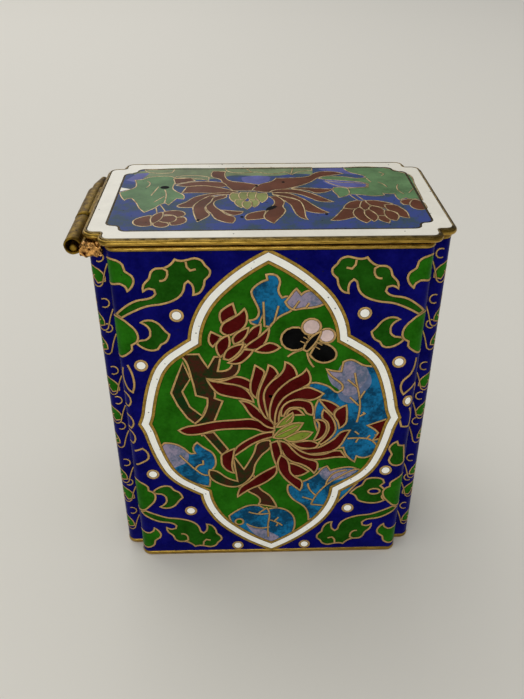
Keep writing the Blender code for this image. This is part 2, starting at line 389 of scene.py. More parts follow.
def petal(path, width, base=0.5, spacing=0.8):
    """The outline of a petal round a curved middle line from its base to its pointed tip."""
    line = smooth_curve(path, closed=False, spacing=min(spacing, width / 3), sharpest=180.0)
    count = len(line) - 1
    left, right = [], []
    start = math.asin(base)
    for index, point in enumerate(line[:-1]):
        along = (line[index + 1] - line[max(index - 1, 0)]).normalized()
        half = width / 2 * math.sin(start + (math.pi - start) * index / count) ** 0.8
        side = Vector((-along.y, along.x)) * half
        left.append(point + side)
        right.append(point - side)
    return left + [line[-1]] + right[::-1]


def oval(centre, across, up=None, sides=14):
    """An oval outline."""
    up = across if up is None else up
    turns = [math.tau * side / sides for side in range(sides)]
    return [Vector((centre[0] + across * math.cos(turn), centre[1] + up * math.sin(turn))) for turn in turns]


def arc(centre, radius, first, last, pieces=8):
    """Points along an arc between two angles in degrees."""
    turns = [math.radians(first + (last - first) * piece / pieces) for piece in range(pieces + 1)]
    return [(centre[0] + radius * math.cos(turn), centre[1] + radius * math.sin(turn)) for turn in turns]


class Spot:
    """Where a motif lies in a drawing: moved, mirrored, inverted about the panel's middle, squeezed."""

    def __init__(self, middle=0.0, mirrored=False, inverted=False, squeeze=1.0, around=0.0):
        self.middle = middle
        self.side = -1.0 if mirrored else 1.0
        self.inverted = inverted
        self.squeeze = squeeze
        self.around = around

    def __call__(self, points):
        """The points of a motif, placed in the drawing."""
        placed = []
        for across, up in points:
            across = self.around + (across - self.around) * self.squeeze
            up = 2 * PANEL_MIDDLE - up if self.inverted else up
            placed.append(Vector((self.middle + self.side * across, up)))
        return placed


HERE = Spot()


def signed_area(outline):
    """Twice the area inside an outline, positive where it runs anticlockwise."""
    return sum(a.x * b.y - b.x * a.y for a, b in zip(outline, outline[1:] + outline[:1]))


class Drawing:
    """A flat drawing of enamel cells and brass wires in millimetres, each laid over the ones before it."""

    # The dark line along a wire, grime with painted shade beside it, as a share of the wire's width.
    EDGE_DIRT_AND_SHADE = 0.2
    # A wire's side is drawn out at most so many times where it bends.
    MITRE = 1.6
    # Points nearer to each other than this become one, in millimetres.
    MERGED = 0.004

    def __init__(self, ground, finish, wire):
        self.points = []
        self.patches = []
        self.finishes = []
        self.guides = []
        self.wire = wire
        self.seam = self.EDGE_DIRT_AND_SHADE * wire
        self.fill(ground, finish)

    def fill(self, outline, finish):
        """Lays one patch of a finish over what is drawn so far."""
        outline = outline if signed_area(outline) > 0 else outline[::-1]
        start = len(self.points)
        self.points += [tuple(point) for point in outline]
        self.patches.append(list(range(start, start + len(outline))))
        self.finishes.append(finish)

    def guide(self, first, last):
        """A cut between two points that changes no finish. The skin bends or stands higher along it."""
        start = len(self.points)
        self.points += [tuple(first), tuple(last)]
        self.guides.append((start, start + 1))

    def strip(self, line, width, finish, closed):
        """A band along the line, mitred at its bends, with a guide line along its middle."""
        count = len(line)
        rails = []
        for index, point in enumerate(line):
            before = line[index - 1] if closed or index else point
            after = line[(index + 1) % count] if closed or index < count - 1 else point
            arrive, leave = point - before, after - point
            arrive = (arrive if arrive.length else leave).normalized()
            leave = leave.normalized() if leave.length else arrive
            along = (arrive + leave).normalized() if (arrive + leave).length > 0.2 else leave
            stretch = min(self.MITRE, 1 / max(0.2, along.dot(leave)))
            side = Vector((-along.y, along.x)) * (width / 2 * stretch)
            rails.append((point - side, point, point + side))
        for index in range(count if closed else count - 1):
            near, far = rails[index], rails[(index + 1) % count]
            self.fill([near[0], far[0], far[2], near[2]], finish)
            self.guide(near[1], far[1])

    def wired(self, line, width, closed, finish="brass"):
        """A wire with a thin dark line along both its sides: grime with painted shade."""
        if self.seam:
            self.strip(line, width + 2 * self.seam, "seam", closed)
        self.strip(line, width, finish, closed)

    def line(self, points, spot=HERE, closed=False, width=None):
        """A wire along a flowing curve through the points."""
        self.wired(smooth_curve(spot(points), closed), width or self.wire, closed)

    def cell(self, points, finish, spot=HERE, smooth=True, wired=True):
        """One enamel cell with its wire round it."""
        outline = smooth_curve(spot(points)) if smooth else spot(points)
        self.fill(outline, finish)
        if wired:
            self.wired(outline, self.wire, True)

    def petal(self, path, width, finish, spot=HERE, base=0.5):
        """A pointed petal round a curved middle line, as a cell."""
        self.cell(petal(path, width, base), finish, spot, smooth=False)

    def owners(self, middles):
        """For each point, the last patch that it lies in, or -1 outside the first patch, the ground."""
        order = np.argsort(middles[:, 0])
        across, up = middles[order, 0], middles[order, 1]
        owner = np.full(len(middles), -1)
        for index, patch in enumerate(self.patches):
            ring = np.array([self.points[corner] for corner in patch])
            low, high = ring.min(axis=0), ring.max(axis=0)
            first, last = np.searchsorted(across, (low[0], high[0]))
            near = np.arange(first, last)
            near = near[(up[first:last] >= low[1]) & (up[first:last] <= high[1])]
            if not len(near):
                continue
            x, z = across[near, None], up[near, None]
            x0, z0 = ring[:, 0], ring[:, 1]
            x1, z1 = np.roll(x0, -1), np.roll(z0, -1)
            side = (x1 - x0) * (z - z0) - (x - x0) * (z1 - z0)
            rising = (z0 <= z) & (z1 > z) & (side > 0)
            falling = (z0 > z) & (z1 <= z) & (side < 0)
            owner[order[near[rising.sum(axis=1) != falling.sum(axis=1)]]] = index
            if index == 0:
                outside = owner < 0
        owner[outside] = -1
        return owner

    def skin(self, place, materials, crown):
        """Cuts the drawing along every edge and lays the pieces on the surface that place gives."""
        edges = list(self.guides)
        for patch in self.patches:
            edges += list(zip(patch, patch[1:] + patch[:1]))
        points, _, triangles, *_ = delaunay_2d_cdt(self.points, edges, [], 0, self.MERGED, False)
        flat = np.array([tuple(point) for point in points])
        owner = self.owners(flat[np.array(triangles)].mean(axis=1))
        bm = bmesh.new()
        at = bm.verts.layers.float_vector.new("drawn")
        names = list(materials)
        verts = [bm.verts.new((point.x, point.y, 0)) for point in points]
        for vert in verts:
            vert[at] = vert.co
        for triangle, patch in zip(triangles, owner):
            if patch >= 0:
                face = bm.faces.new([verts[index] for index in triangle])
                face.material_index = names.index(self.finishes[patch])
        bmesh.ops.delete(bm, geom=[vert for vert in bm.verts if not vert.link_faces], context="VERTS")
        metals = [names.index(name) for name in ("brass", "rim")]
        for vert in bm.verts:
            on_wire = all(face.material_index in metals for face in vert.link_faces) and not vert.is_boundary
            vert.co = place(vert[at].x, vert[at].y, crown if on_wire else 0.0)
        for edge in bm.edges:
            edge.smooth = len({face.material_index for face in edge.link_faces}) == 1
        return bm


def finished(name, bm, materials, body, replaced):
    """Makes the object of a mesh, smooth but for its sharp edges, and puts it on its CAD body."""
    mesh = bpy.data.meshes.new(name)
    bm.to_mesh(mesh)
    bm.free()
    for material in materials:
        mesh.materials.append(material)
    obj = bpy.data.objects.new(name, mesh)
    bpy.context.scene.collection.objects.link(obj)
    for polygon in mesh.polygons:
        polygon.use_smooth = True
    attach(obj, body)
    if replaced:
        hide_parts(*replaced)
    return obj


# The drawing of a long side: x from the side's middle and z from the floor, in millimetres.

QUATREFOIL = [
    (0, 75.6), (4, 73.2), (7.3, 70.6), (10.6, 67.2), (12.4, 64.3), (13.6, 61.2), (14.1, 58.2), (16.5, 56.6),
    (19.3, 54.5), (21.3, 52), (22.6, 49), (23.5, 46), (24.2, 43), (24.6, 41), (25.4, 38.8),
]


def quatrefoil(spot, growth=0.0, tilt=0.0):
    """The panel's outline, from a quarter mirrored both ways, grown outwards and tilted."""
    quarter = [Vector(point) for point in QUATREFOIL]
    right = quarter + [Vector((p.x, 2 * PANEL_MIDDLE - p.y)) for p in quarter[-2::-1]]
    left = [Vector((-p.x, p.y)) for p in right[-2:0:-1]]
    outline = smooth_curve(spot(right + left), spacing=0.8, sharpest=30.0)
    centre = Vector((spot.middle, PANEL_MIDDLE))
    turned = Matrix.Rotation(tilt, 2)
    outline = [centre + turned @ (point - centre) for point in outline]
    if not growth:
        return outline
    away = growth if signed_area(outline) > 0 else -growth
    grown = []
    for index, point in enumerate(outline):
        arrive = (point - outline[index - 1]).normalized()
        leave = (outline[(index + 1) % len(outline)] - point).normalized()
        along = (arrive + leave).normalized()
        grown.append(point + Vector((along.y, -along.x)) * away / max(0.4, along.dot(leave)))
    return grown


def draw_panel_edge(drawing, sizes, spot, tilt=0.0):
    """The white band round a panel, between its two wires."""
    band = sizes.white_band / MM
    wire = sizes.border_wire / MM
    # The band reaches a little under both wires.
    drawing.strip(quatrefoil(spot, 0.0, tilt), band + 0.1, "white", True)
    for side in (1, -1):
        drawing.wired(quatrefoil(spot, side * (band + wire) / 2, tilt), wire, True, "rim")


BIG_LEAF = [
    (-28.5, 64.1), (-26, 66.25), (-24.5, 67), (-21.75, 67.6), (-20.9, 68.4), (-21.1, 69.25), (-22, 69.5),
    (-23.1, 68.9), (-22.9, 70.25), (-21.75, 71.6), (-21.4, 72.75), (-20.5, 73.45), (-19.25, 73.5),
    (-18.25, 73.9), (-17, 75.2), (-16, 74.9), (-14.75, 75.1), (-13.5, 75.4), (-12.25, 74.9), (-11.75, 74),
    (-10.9, 73), (-11.1, 71.9), (-11.9, 71.1), (-12.1, 70), (-13, 68.5), (-14.1, 68.1), (-14, 69.25),
    (-14.25, 70.25), (-14.9, 70.9), (-15.5, 70.4), (-15.75, 69.25), (-16.4, 68), (-17.75, 67), (-20, 66.25),
    (-22.5, 65.9), (-25, 64.9), (-27.5, 63.5),
]
LEAF_CURLS = (
    [(-19.25, 73.5), (-18.5, 73), (-18.5, 72.25), (-19, 71.25), (-20, 71)],
    [(-15.1, 74.75), (-15, 73.75), (-14.4, 73), (-13.4, 73.25)],
)
HOOK_LEAF = [
    (-24.1, 62.4), (-23.5, 62.75), (-22, 62.8), (-20.75, 62), (-19.9, 60.75), (-19, 59.75), (-19.75, 58.1),
    (-20.75, 57.5), (-21.4, 56.5), (-22.75, 56.25), (-24.25, 56.9), (-25.25, 57.9), (-24.9, 58.4),
    (-23.5, 58.6), (-22.6, 59.5), (-22.5, 60.5), (-22.9, 61.5),
]
EDGE_HEART = [
    (-27.6, 63.25), (-26.25, 62), (-25.25, 60.75), (-24.9, 59), (-25.4, 58), (-26.25, 57.5), (-26.25, 56.5),
    (-27.1, 55.6), (-29.2, 54.6), (-31.4, 56), (-32.2, 59), (-31.2, 62), (-29.2, 63.6),
]
EDGE_LEAF = [
    (-27.25, 75.1), (-26.25, 74.25), (-26, 73), (-24.9, 72.1), (-24.6, 71), (-25.9, 69), (-26.25, 70),
    (-27, 70.5), (-29.4, 70.2), (-31.8, 71.4), (-31.6, 73.8), (-29.6, 75.2),
]
EYE_LEAF = [
    (-24.1, 20.3), (-24.9, 21.2), (-24.6, 22.1), (-22.7, 22.7), (-20.8, 22.2), (-20.2, 20.7), (-19, 19.9),
    (-17.7, 18.3), (-18.9, 17.5), (-19.5, 16.2), (-21.7, 15.3), (-23.9, 15.3), (-25.4, 16), (-24.7, 17.1),
    (-25.2, 18.7),
]
SIDE_LEAF = [(-27.5, 53), (-26.6, 48.75), (-27.1, 46.5), (-27.9, 47.25), (-28.9, 50.2), (-28.6, 52.2)]
SIDE_SCROLL = [
    (-28.25, 31.25), (-26.5, 32), (-25.5, 30.75), (-25.5, 29.25), (-26.75, 28.25), (-28.25, 27.5),
]
EDGE_LOOP = [
    (-28.3, 53.6), (-27.6, 50.1), (-26, 48), (-25.9, 46.4), (-26.6, 45), (-27.8, 46.3), (-28.9, 47.3),
    (-29.4, 46.3), (-29.3, 45.3),
]
EDGE_CURL = [(-26.4, 38.9), (-27, 36.8), (-28.7, 36.5), (-29.1, 38.8), (-28.3, 41.4)]
EDGE_BUD = [
    (-26.6, 32.8), (-26.9, 31.8), (-28.2, 31.5), (-28.9, 26.8), (-27.7, 26.2), (-26.2, 26.3), (-25.3, 27.7),
    (-25.8, 29.3), (-25.1, 30.7), (-25.4, 31.8),
]


def dot(drawing, centre, spot, across=1.15, up=None):
    """A white dot in its wire ring."""
    drawing.cell(oval(centre, across, up), "white", spot, smooth=False)


def draw_corners(drawing, middle):
    """The scrolls in the four corners of a long side. Its last corner has a leaf with an eye."""
    for mirrored in (False, True):
        for inverted in (False, True):
            spot = Spot(middle, mirrored, inverted)
            drawing.cell(BIG_LEAF, "leaf", spot)
            for curl in LEAF_CURLS:
                drawing.line(curl, spot)
            if mirrored and inverted:
                upright = Spot(middle, True)
                drawing.cell(EYE_LEAF, "leaf", upright)
                drawing.cell(oval((-22.9, 18.7), 1.3, 0.8), "cobalt", upright, smooth=False)
            else:
                drawing.cell(HOOK_LEAF, "leaf", spot)
            drawing.cell(EDGE_HEART, "green", spot)
            drawing.cell(EDGE_LEAF, "green", spot)
            dot(drawing, (-17.4, 63.8), spot)
            dot(drawing, (-24.9, 52.8), spot)


def draw_edges(drawing, middle):
    """The small leaves and scrolls halfway up the edges, where the two sides differ."""
    left, right = Spot(middle), Spot(middle, True)
    drawing.line(SIDE_LEAF, left)
    for up in (44.2, 38.6, 34.6):
        hook = [(-29.4, up + 2), (-28.2, up + 1.6), (-27.7, up), (-28.4, up - 1.3), (-29.5, up - 1)]
        drawing.line(hook, left, width=0.34)
    drawing.cell(SIDE_SCROLL, "cobalt", left, wired=False)
    drawing.line(SIDE_SCROLL, left)
    drawing.line(EDGE_LOOP, right)
    dot(drawing, (-27.7, 43.3), right, 0.9, 1.15)
    drawing.line(EDGE_CURL, right)
    drawing.cell(EDGE_BUD, "leaf", right)


def draw_corner_columns(drawing, middle, rows=9, lowest=6.5, pitch=7.9, fine=0.24):
    """The small leaves and scrolls, one above the other, down the stepped corners beside a long side."""
    for mirrored in (False, True):
        spot = Spot(middle, mirrored)
        for row in range(rows):
            # Each row is shifted and leans a little otherwise, as drawn by hand.
            up = lowest + pitch * row + 1.3 * math.sin(2.4 * row)
            lean = 0.8 * math.sin(1.7 * row + middle)
            path = [(-34.6 + lean, up - 1.2), (-35.6 + lean, up + 0.6), (-37.4, up + 1.6)]
            leaf = petal(spot(path), 2.3, 0.6)
            drawing.fill(leaf, "green")
            drawing.wired(leaf, fine, True)
            scroll = [(-32.4, up + 2.6), (-33.1, up + 0.8)] + arc((-34.8, up - 1.0), 1.2, 0, -250)
            drawing.line(scroll, spot, width=fine)
            drawing.line(arc((-33.9, up + 3.9), 0.95, 120, -120), spot, width=fine)


TOP_LEAF = [
    (-4, 62.6), (-2.7, 63), (-2.2, 64.3), (-3.1, 67), (-3.6, 68.6), (-2.3, 70.2), (-0.7, 71), (-0.9, 72),
    (1, 71.8), (1.6, 70.6), (1.3, 68.8), (2, 67.3), (3.4, 67.5), (4.7, 66.2), (4, 64.8), (1.5, 63.2),
    (-0.2, 61.1), (-1.1, 61.3), (-1.6, 63.6), (-2.2, 61.5), (-3.7, 62),
]
TOP_LEAF_LILAC = [
    (2.6, 66.4), (3.4, 67.5), (4.1, 68.6), (4.6, 69.1), (5.5, 67.9), (6.8, 68.7), (8.6, 68.2), (9.8, 65.9),
    (8.4, 65.3), (5.8, 65), (4, 64.8),
]
RIGHT_LEAF = [
    (10.9, 51.4), (12.5, 50.9), (13.8, 50.8), (14.1, 53), (15.5, 53.5), (18.3, 52.1), (21.6, 52),
    (23.4, 46.6), (24.6, 41), (25, 38.8), (24.4, 35.4), (23.4, 31.4), (20.1, 28.5), (18.3, 29), (18, 27.4),
    (16.2, 29.2), (15.4, 31.4), (12.7, 31.1), (8.9, 39.9), (10.5, 45.5), (8.7, 46.6), (7.4, 47.2),
    (7.8, 48.1), (8.8, 48.2), (10.3, 47.8), (11.7, 47.1), (12.8, 46), (13.4, 45.7), (14.2, 46.3),
    (14.2, 47.6), (13.1, 48.7), (11.7, 50),
]
RIGHT_LEAF_LILAC = [
    (11, 51.2), (13.2, 50.8), (14.2, 52.8), (16.1, 53.2), (18.1, 52.4), (19.2, 50.3), (18.8, 48.4),
    (17.7, 46.5), (16.7, 45.1), (15.1, 44.9), (13.4, 46.6), (12.2, 47.6),
]
RIGHT_LEAF_MIST = [
    (18.8, 48.7), (17.7, 46.8), (16.6, 45.3), (15.1, 45.1), (13.4, 46.1), (14.1, 43.9), (16.8, 43),
    (18.6, 45.5), (19.9, 47.8), (19.3, 50.3),
]
LOW_RIGHT_LEAF = [
    (10.2, 24.2), (11.1, 25.6), (12.2, 26.3), (13, 25), (14.8, 25.6), (17.3, 25.9), (19, 25.2), (21, 24.2),
    (18.4, 20.4), (16, 17), (12.4, 12.6), (8.75, 10.4), (8, 14), (5, 17), (4, 19), (4, 21), (6.75, 21.75),
]
LOW_RIGHT_LILAC = [
    (10.3, 25.6), (12, 26.4), (12.9, 25.2), (15.8, 25.4), (18.8, 25.1), (17.2, 23.4), (14.7, 22.3),
    (13.1, 21.8), (11.3, 23),
]
BOTTOM_LEAF = [
    (-9, 12), (-7, 13.75), (-4.5, 15.1), (-2.25, 15), (-0.9, 14), (1.75, 14.25), (3.75, 13.5),
    (5.25, 11.75), (5.75, 9.5), (5.5, 7.25), (4, 4), (0.4, 2.4), (-4, 5), (-8, 9),
]
BOTTOM_LILAC = [(-5.3, 9.4), (-3.3, 8.5), (-0.6, 7.1), (1.2, 5.9), (2.3, 5), (0.5, 3.1), (-2.5, 5.1)]
LOW_LEFT_LEAF = [
    (-21.9, 33.4), (-19.5, 33), (-17.75, 31.75), (-16.5, 30.4), (-15.6, 30.5), (-16, 32), (-15.1, 33.4),
    (-13.75, 32), (-12, 30.5), (-11.4, 28.5), (-11.75, 26.5), (-13, 25.4), (-12.75, 24), (-13, 21),
    (-16, 22), (-21, 26), (-23, 31),
]
LOW_LEFT_LILAC = [
    (-21.9, 33.4), (-19.5, 33), (-17.75, 31.75), (-17, 30), (-17.6, 28), (-19.4, 27), (-21, 26), (-23, 31),
]
FRONT_VEINS = (
    [(-1.4, 66.5), (-1.2, 61.2)],
    [(1.4, 65.6), (0.6, 62.2)],
    [(5.2, 66.6), (4.2, 65)],
    [(7, 66.1), (6.4, 65.1)],
    [(17.7, 38.1), (18.1, 41.6), (17.8, 44.6), (17.1, 47.5), (16.5, 50.4)],
    [(15.2, 48.8), (17.1, 47)],
    [(15.9, 44.5), (17.8, 42.4)],
    [(18.8, 46), (18, 44.3)],
    [(18.2, 39.6), (19.2, 40.3), (18.8, 40.6)],
    [(22.5, 31.6), (20.7, 33.5), (18.2, 33.9), (16.1, 33.8)],
    [(18.4, 34.9), (17.5, 35.7)],
    [(18.4, 33.9), (17.9, 32.7)],
    [(20.1, 33.7), (20.7, 34.6)],
    [(22.2, 36.1), (22.9, 35.1), (21.7, 34.6)],
    [(9.2, 15.1), (10.2, 17.8), (12.2, 20.7), (14.7, 22.9), (18, 25.1), (19, 25.3)],
    [(10.2, 17.8), (8.6, 19.9), (8.3, 21.4)],
    [(9.4, 16.5), (7.2, 17.4)],
    [(12.1, 14.7), (9.2, 15.1)],
    [(12.2, 20.7), (13.4, 23.8), (14.6, 24.6), (16.5, 25.1)],
    [(-0.2, 5.1), (-0.3, 8.9), (0, 12.6), (-0.7, 14.5)],
    [(0, 12.6), (-2.4, 12.4), (-4.6, 13.1)],
    [(-0.7, 14.2), (-2.4, 12.7)],
    [(0.2, 10.5), (2.5, 9.1), (2.9, 8.7)],
    [(1.1, 10), (2, 11.3)],
    [(2, 9.5), (1.6, 8.5)],
    [(0, 8.3), (-2.4, 8), (-5.1, 9.4)],
    [(-18.9, 30), (-17.4, 28), (-15.8, 26), (-13.8, 24.3), (-12.1, 24.8)],
    [(-15.8, 26), (-15.1, 27.1), (-14.1, 27.4), (-14.1, 28.5)],
)
BRANCH_LOOP = [
    (-16.9, 53.4), (-18.3, 49.8), (-19.6, 46.2), (-18.5, 43.1), (-16.8, 40), (-15.7, 38.8), (-15.25, 38.5),
    (-13.75, 40), (-12.5, 43), (-13.8, 45.3), (-15, 46.1), (-15.7, 49.8),
]
BRANCH_EYE = [(-15.5, 49.8), (-17.4, 46.5), (-16.1, 42.7), (-13.7, 40.3), (-12, 44.9), (-14.4, 46.4)]
BRANCHES = (
    [(-17.6, 55.2), (-16.5, 54), (-15.4, 49.75), (-14.75, 45.5), (-12.5, 44.75), (-12.75, 42.25),
     (-13.75, 40), (-15.25, 38.5), (-14, 35.25), (-12.4, 35.8), (-11.4, 38.75), (-9.5, 44), (-11.1, 44.75),
     (-11, 46.5), (-12.5, 49.6), (-9, 49.4), (-6.75, 50.4), (-6, 52.9), (-7.4, 53.1), (-8, 51.75),
     (-10.25, 51.25), (-9.6, 54.6), (-10.8, 54.6), (-12.1, 52.1), (-12.75, 53.25), (-13.75, 55.25)],
    [(-3.4, 24), (-2, 20), (0, 18), (1.6, 14.5), (-2.4, 15.4), (-2.1, 17), (-4.5, 19.25), (-7, 20.9)],
    [(-2.6, 32.9), (-0.1, 33.7), (0.1, 31.9), (-1.7, 29.7), (-3.1, 27), (-3.7, 24.1), (-6.9, 20.9),
     (-9.9, 21.3), (-12.8, 23.8), (-12.8, 25.8), (-11.2, 25.3), (-9.1, 23.4), (-6.9, 22.4), (-7.7, 29),
     (-7.3, 29), (-5.5, 25.8), (-4.2, 28.3), (-3.2, 30.7)],
    [(-13.8, 35.7), (-11.6, 36.1), (-8.7, 31.4), (-10, 29.9)],
)
FRONT_BUD = (
    [(-11.2, 60.2), (-9.3, 59.1), (-10.3, 57.7), (-11, 56.9), (-11.7, 58.1)],
    [(-9.4, 64.3), (-8.6, 65.2), (-7, 66.2), (-6.4, 63.7), (-7.7, 63), (-9.1, 62)],
    [(-4.9, 65.1), (-4.4, 63.4), (-4.9, 61.3), (-6.5, 60), (-8.2, 59.4), (-9.4, 60.3), (-9, 61.8),
     (-7.3, 63), (-5.9, 64)],
    [(-8, 59.4), (-7.8, 57.3), (-8.6, 55.6), (-9.6, 54.5), (-10.2, 55.7), (-10.3, 57.4), (-9.4, 58.6)],
    [(-1.9, 61.7), (-2.2, 59.3), (-3.4, 57.6), (-4.8, 57.2), (-5.4, 57.9), (-4.4, 59.6), (-3.3, 61)],
    [(-4.2, 61), (-4.6, 59.3), (-5.7, 58), (-6.9, 57.4), (-7.2, 58.7), (-6.2, 60)],
    [(-0.3, 61), (-0.7, 58.5), (-1.6, 56.9), (-3.1, 56.1), (-5, 56.6), (-4.3, 57.3), (-2.2, 59)],
    [(1.8, 56.5), (-0.2, 55.4), (-3, 55.8), (-1.6, 56.9), (-0.2, 57.6)],
    [(-5.2, 57.4), (-6, 55.6), (-8, 53.8), (-9, 54.1), (-8.4, 56), (-6.9, 57)],
    [(-3.3, 56), (-4.6, 54.1), (-6.1, 53), (-8.2, 53.2), (-6, 54.9), (-5.1, 56.2)],
)
FRONT_FLOWER = (
    [(-18.7, 36.7), (-16.7, 37.7), (-15.3, 37.9), (-11.3, 38.8), (-6.5, 39.2), (-3.6, 39.3), (-2.1, 38.7),
     (1, 37.5), (0.9, 36.2), (-1.2, 35.9), (-3, 36.7), (-6.5, 36.9), (-11, 36.6), (-14.1, 35.7),
     (-15.5, 35.5), (-17.2, 35.6)],
    [(-12.5, 49.6), (-11, 48.8), (-9.1, 48.4), (-6.7, 47.8), (-5.1, 47), (-4, 45.6), (-3.3, 43.6),
     (-5.3, 44.4), (-7.9, 45), (-10.3, 45.9), (-11.3, 47.1)],
    [(-12.5, 49.6), (-11, 48.8), (-8.8, 49.1), (-6.6, 49.9), (-4.4, 49.1), (-3.8, 48.6), (-4, 46.4),
     (-5.5, 47.4), (-6.7, 47.9), (-9.1, 48.4)],
    [(-3, 52.5), (-2, 51.8), (-1.2, 51), (-1.6, 49.2), (-2.2, 47.2), (-2.8, 44.6), (-3.3, 45.1), (-3.8, 46),
     (-3.9, 48.2), (-3.5, 50.1)],
    [(-6.1, 44), (-4.2, 43.5), (-2.9, 42.3), (-1.6, 40.7), (-0.3, 39.2), (0.9, 37.7), (0.9, 36.8),
     (-0.8, 37.4), (-2.1, 38.7), (-3.6, 39.9), (-4.5, 41.3), (-5.3, 42.9)],
    [(-0.4, 52.5), (0.6, 51.9), (1.5, 50.3), (0.3, 48.7), (-0.8, 47.1), (-1.3, 45.3), (-1.1, 43.1),
     (-0.7, 41.2), (-0.1, 39.2), (-0.8, 39.5), (-1.6, 40.9), (-2.3, 42.9), (-2.4, 45), (-2.1, 46.9),
     (-1.4, 49), (-0.7, 51)],
    [(2.8, 53.2), (3.9, 52.6), (4.8, 51.4), (5.2, 49.8), (3.9, 48.9), (2.2, 47.3), (0.9, 45.5), (0.2, 43.4),
     (-0.1, 41.2), (0, 38.9), (-0.6, 40.6), (-1.1, 43.1), (-1.3, 45.3), (-0.8, 47.1), (0.3, 48.7),
     (1.8, 50.1), (2.6, 51.5)],
    [(7, 51.5), (7.7, 50.1), (7.8, 48.2), (6.5, 47.1), (4.4, 45.9), (2.8, 44.6), (1.7, 42.8), (1.1, 40.6),
     (0.9, 38.1), (0.2, 38.8), (-0.1, 41.2), (0.2, 43.4), (0.9, 45.5), (2.2, 47.3), (3.9, 48.9),
     (5.2, 49.7), (6.2, 50.4)],
    [(10.6, 45.5), (8.7, 46.6), (7.4, 47.1), (6.3, 46.8), (4.4, 45.9), (2.8, 44.6), (1.7, 42.8),
     (1.1, 40.6), (1, 37.9), (1.8, 38.3), (1.9, 40.6), (2.6, 42.6), (4, 43.8), (5.7, 44.2), (7.9, 43.9),
     (9.4, 44.4)],
    [(2.3, 40), (2.4, 42.1), (3.4, 43.4), (4.9, 44), (6.6, 43.9), (8, 43.4), (8.7, 41.5), (8.6, 40.1),
     (7.3, 40.7), (6.7, 41.8), (5.3, 42.1), (4, 42), (3.2, 41.1), (2.8, 40)],
    [(3.4, 40.3), (4, 41.5), (5.3, 41.8), (6.3, 41), (6.9, 40.2), (5.8, 40.2), (4.7, 40.2)],
    [(9.8, 44), (11.6, 43.6), (13, 42.8), (13.9, 42), (13.1, 41.1), (12.8, 40), (11.6, 41.4), (10.7, 42.6)],
    [(15.3, 42.5), (15.6, 40.2), (15.4, 37.7), (14.2, 36.6), (13.7, 38.6), (13, 39.8), (13.3, 41.1),
     (14.2, 41.9)],
    [(10.8, 41.5), (12.2, 40), (13.2, 38.1), (13.5, 36.1), (12.5, 34.1), (10.6, 32.3), (10.1, 32.8),
     (11.5, 34.7), (12.1, 36.7), (11.6, 38.4), (10.7, 39.2)],
    [(9.2, 38.9), (11, 38.5), (11.6, 37.3), (11.4, 35.3), (10.3, 33.8), (9, 33.4), (9.8, 35.3), (10.1, 37),
     (9.9, 38.1)],
    [(16.5, 36), (14.6, 35.5), (13.5, 34), (11.9, 32.6), (10.1, 31.5), (8.1, 31.2), (6, 31.3), (7.4, 30.1),
     (9.3, 29.8), (11.6, 30.1), (13.6, 30.8), (14.9, 32.3), (15.6, 34)],
    [(4.7, 32.8), (6.9, 33.3), (8.7, 33.3), (10.1, 32.4), (9.7, 31.6), (7.9, 31.3), (6, 31.7)],
    [(3.5, 33.3), (5.1, 31.8), (7, 30.3), (9.3, 29.5), (11.6, 29.7), (13.4, 30.5), (14.9, 30.5), (16, 28.7),
     (13.9, 28.8), (11.6, 28.4), (9.3, 28.2), (7, 28.8), (5.2, 30.4), (4, 31.8)],
    [(1.9, 33.5), (3.5, 32.8), (4.8, 31), (6.6, 29.1), (8.4, 28.2), (9.9, 27.6), (10.2, 26.1), (9.5, 24.3),
     (8.3, 25.8), (6.6, 27), (4.8, 27.7), (3.4, 29), (2.4, 31.1)],
    [(3.9, 27.4), (5.7, 26.8), (7.1, 25.9), (8.3, 24.9), (6, 23.6), (4.8, 24), (4.2, 25.6)],
    [(0.1, 32.9), (1.5, 33.5), (2.2, 31.4), (2.4, 29.6), (1.4, 26.8), (0.7, 29.1)],
    [(2.3, 29.5), (3.6, 28.4), (4.1, 26.8), (4.4, 24.7), (5.5, 23.3), (6.9, 22.1), (6.6, 19.4), (4.9, 21.1),
     (3.2, 23.1), (2, 25.4), (1.7, 27.5)],
    [(1.4, 26.6), (-0.1, 25.7), (-2.2, 24.2), (-4.5, 22.1), (-6.2, 20.6), (-7, 17.7), (-4.1, 20.1),
     (-1.7, 21.4), (0.2, 22.9), (1.4, 24.6)],
    [(0.7, 35.9), (-1.7, 35.5), (-3.5, 34.6), (-5.7, 33.1), (-7.1, 31.6), (-7.6, 29.4), (-5.5, 31.2),
     (-3.7, 32.7), (-1.7, 33.8), (0.7, 34.6)],
    [(-10.1, 29.9), (-8.9, 30.8), (-7.4, 31.6), (-7.7, 29.3), (-8, 27.2), (-7.6, 24.8), (-9.1, 25.6),
     (-10.1, 27.2), (-10.2, 28.7)],
)
FRONT_HEART = (
    [(1.3, 37.1), (2.3, 38.8), (3.4, 39.9), (4.5, 40.8), (4.7, 40.2), (4.3, 38.4), (3, 37.5)],
    [(0.7, 34.4), (1.7, 36), (3.4, 37.4), (5, 38.1), (6.7, 38.1), (5.9, 36.5), (4.6, 35.1), (2.4, 34.1)],
    [(2.9, 34), (4.6, 35.1), (6.4, 35.9), (8.7, 35.6), (7.3, 33.9), (5.1, 33.2), (3.7, 33.4)],
)
FALLEN_PETAL = [
    (23.6, 38.7), (20, 37.2), (21.8, 35.9), (22.4, 35.2), (21.4, 33.2), (23.9, 34.6), (24.6, 37),
]
LOWER_WING = [(7.5, 54.75), (10, 52.9), (12.4, 53.75), (12.6, 55.25), (11, 57), (8.75, 57.5)]


def draw_washed_leaf(drawing, spot, leaf, *washes):
    """A blue leaf whose greyed parts, each from (outline, finish), run into the blue without a wire."""
    drawing.cell(leaf, "teal", spot, wired=False)
    for outline, finish in washes:
        drawing.cell(outline, finish, spot, wired=False)
    drawing.line(leaf, spot, closed=True)


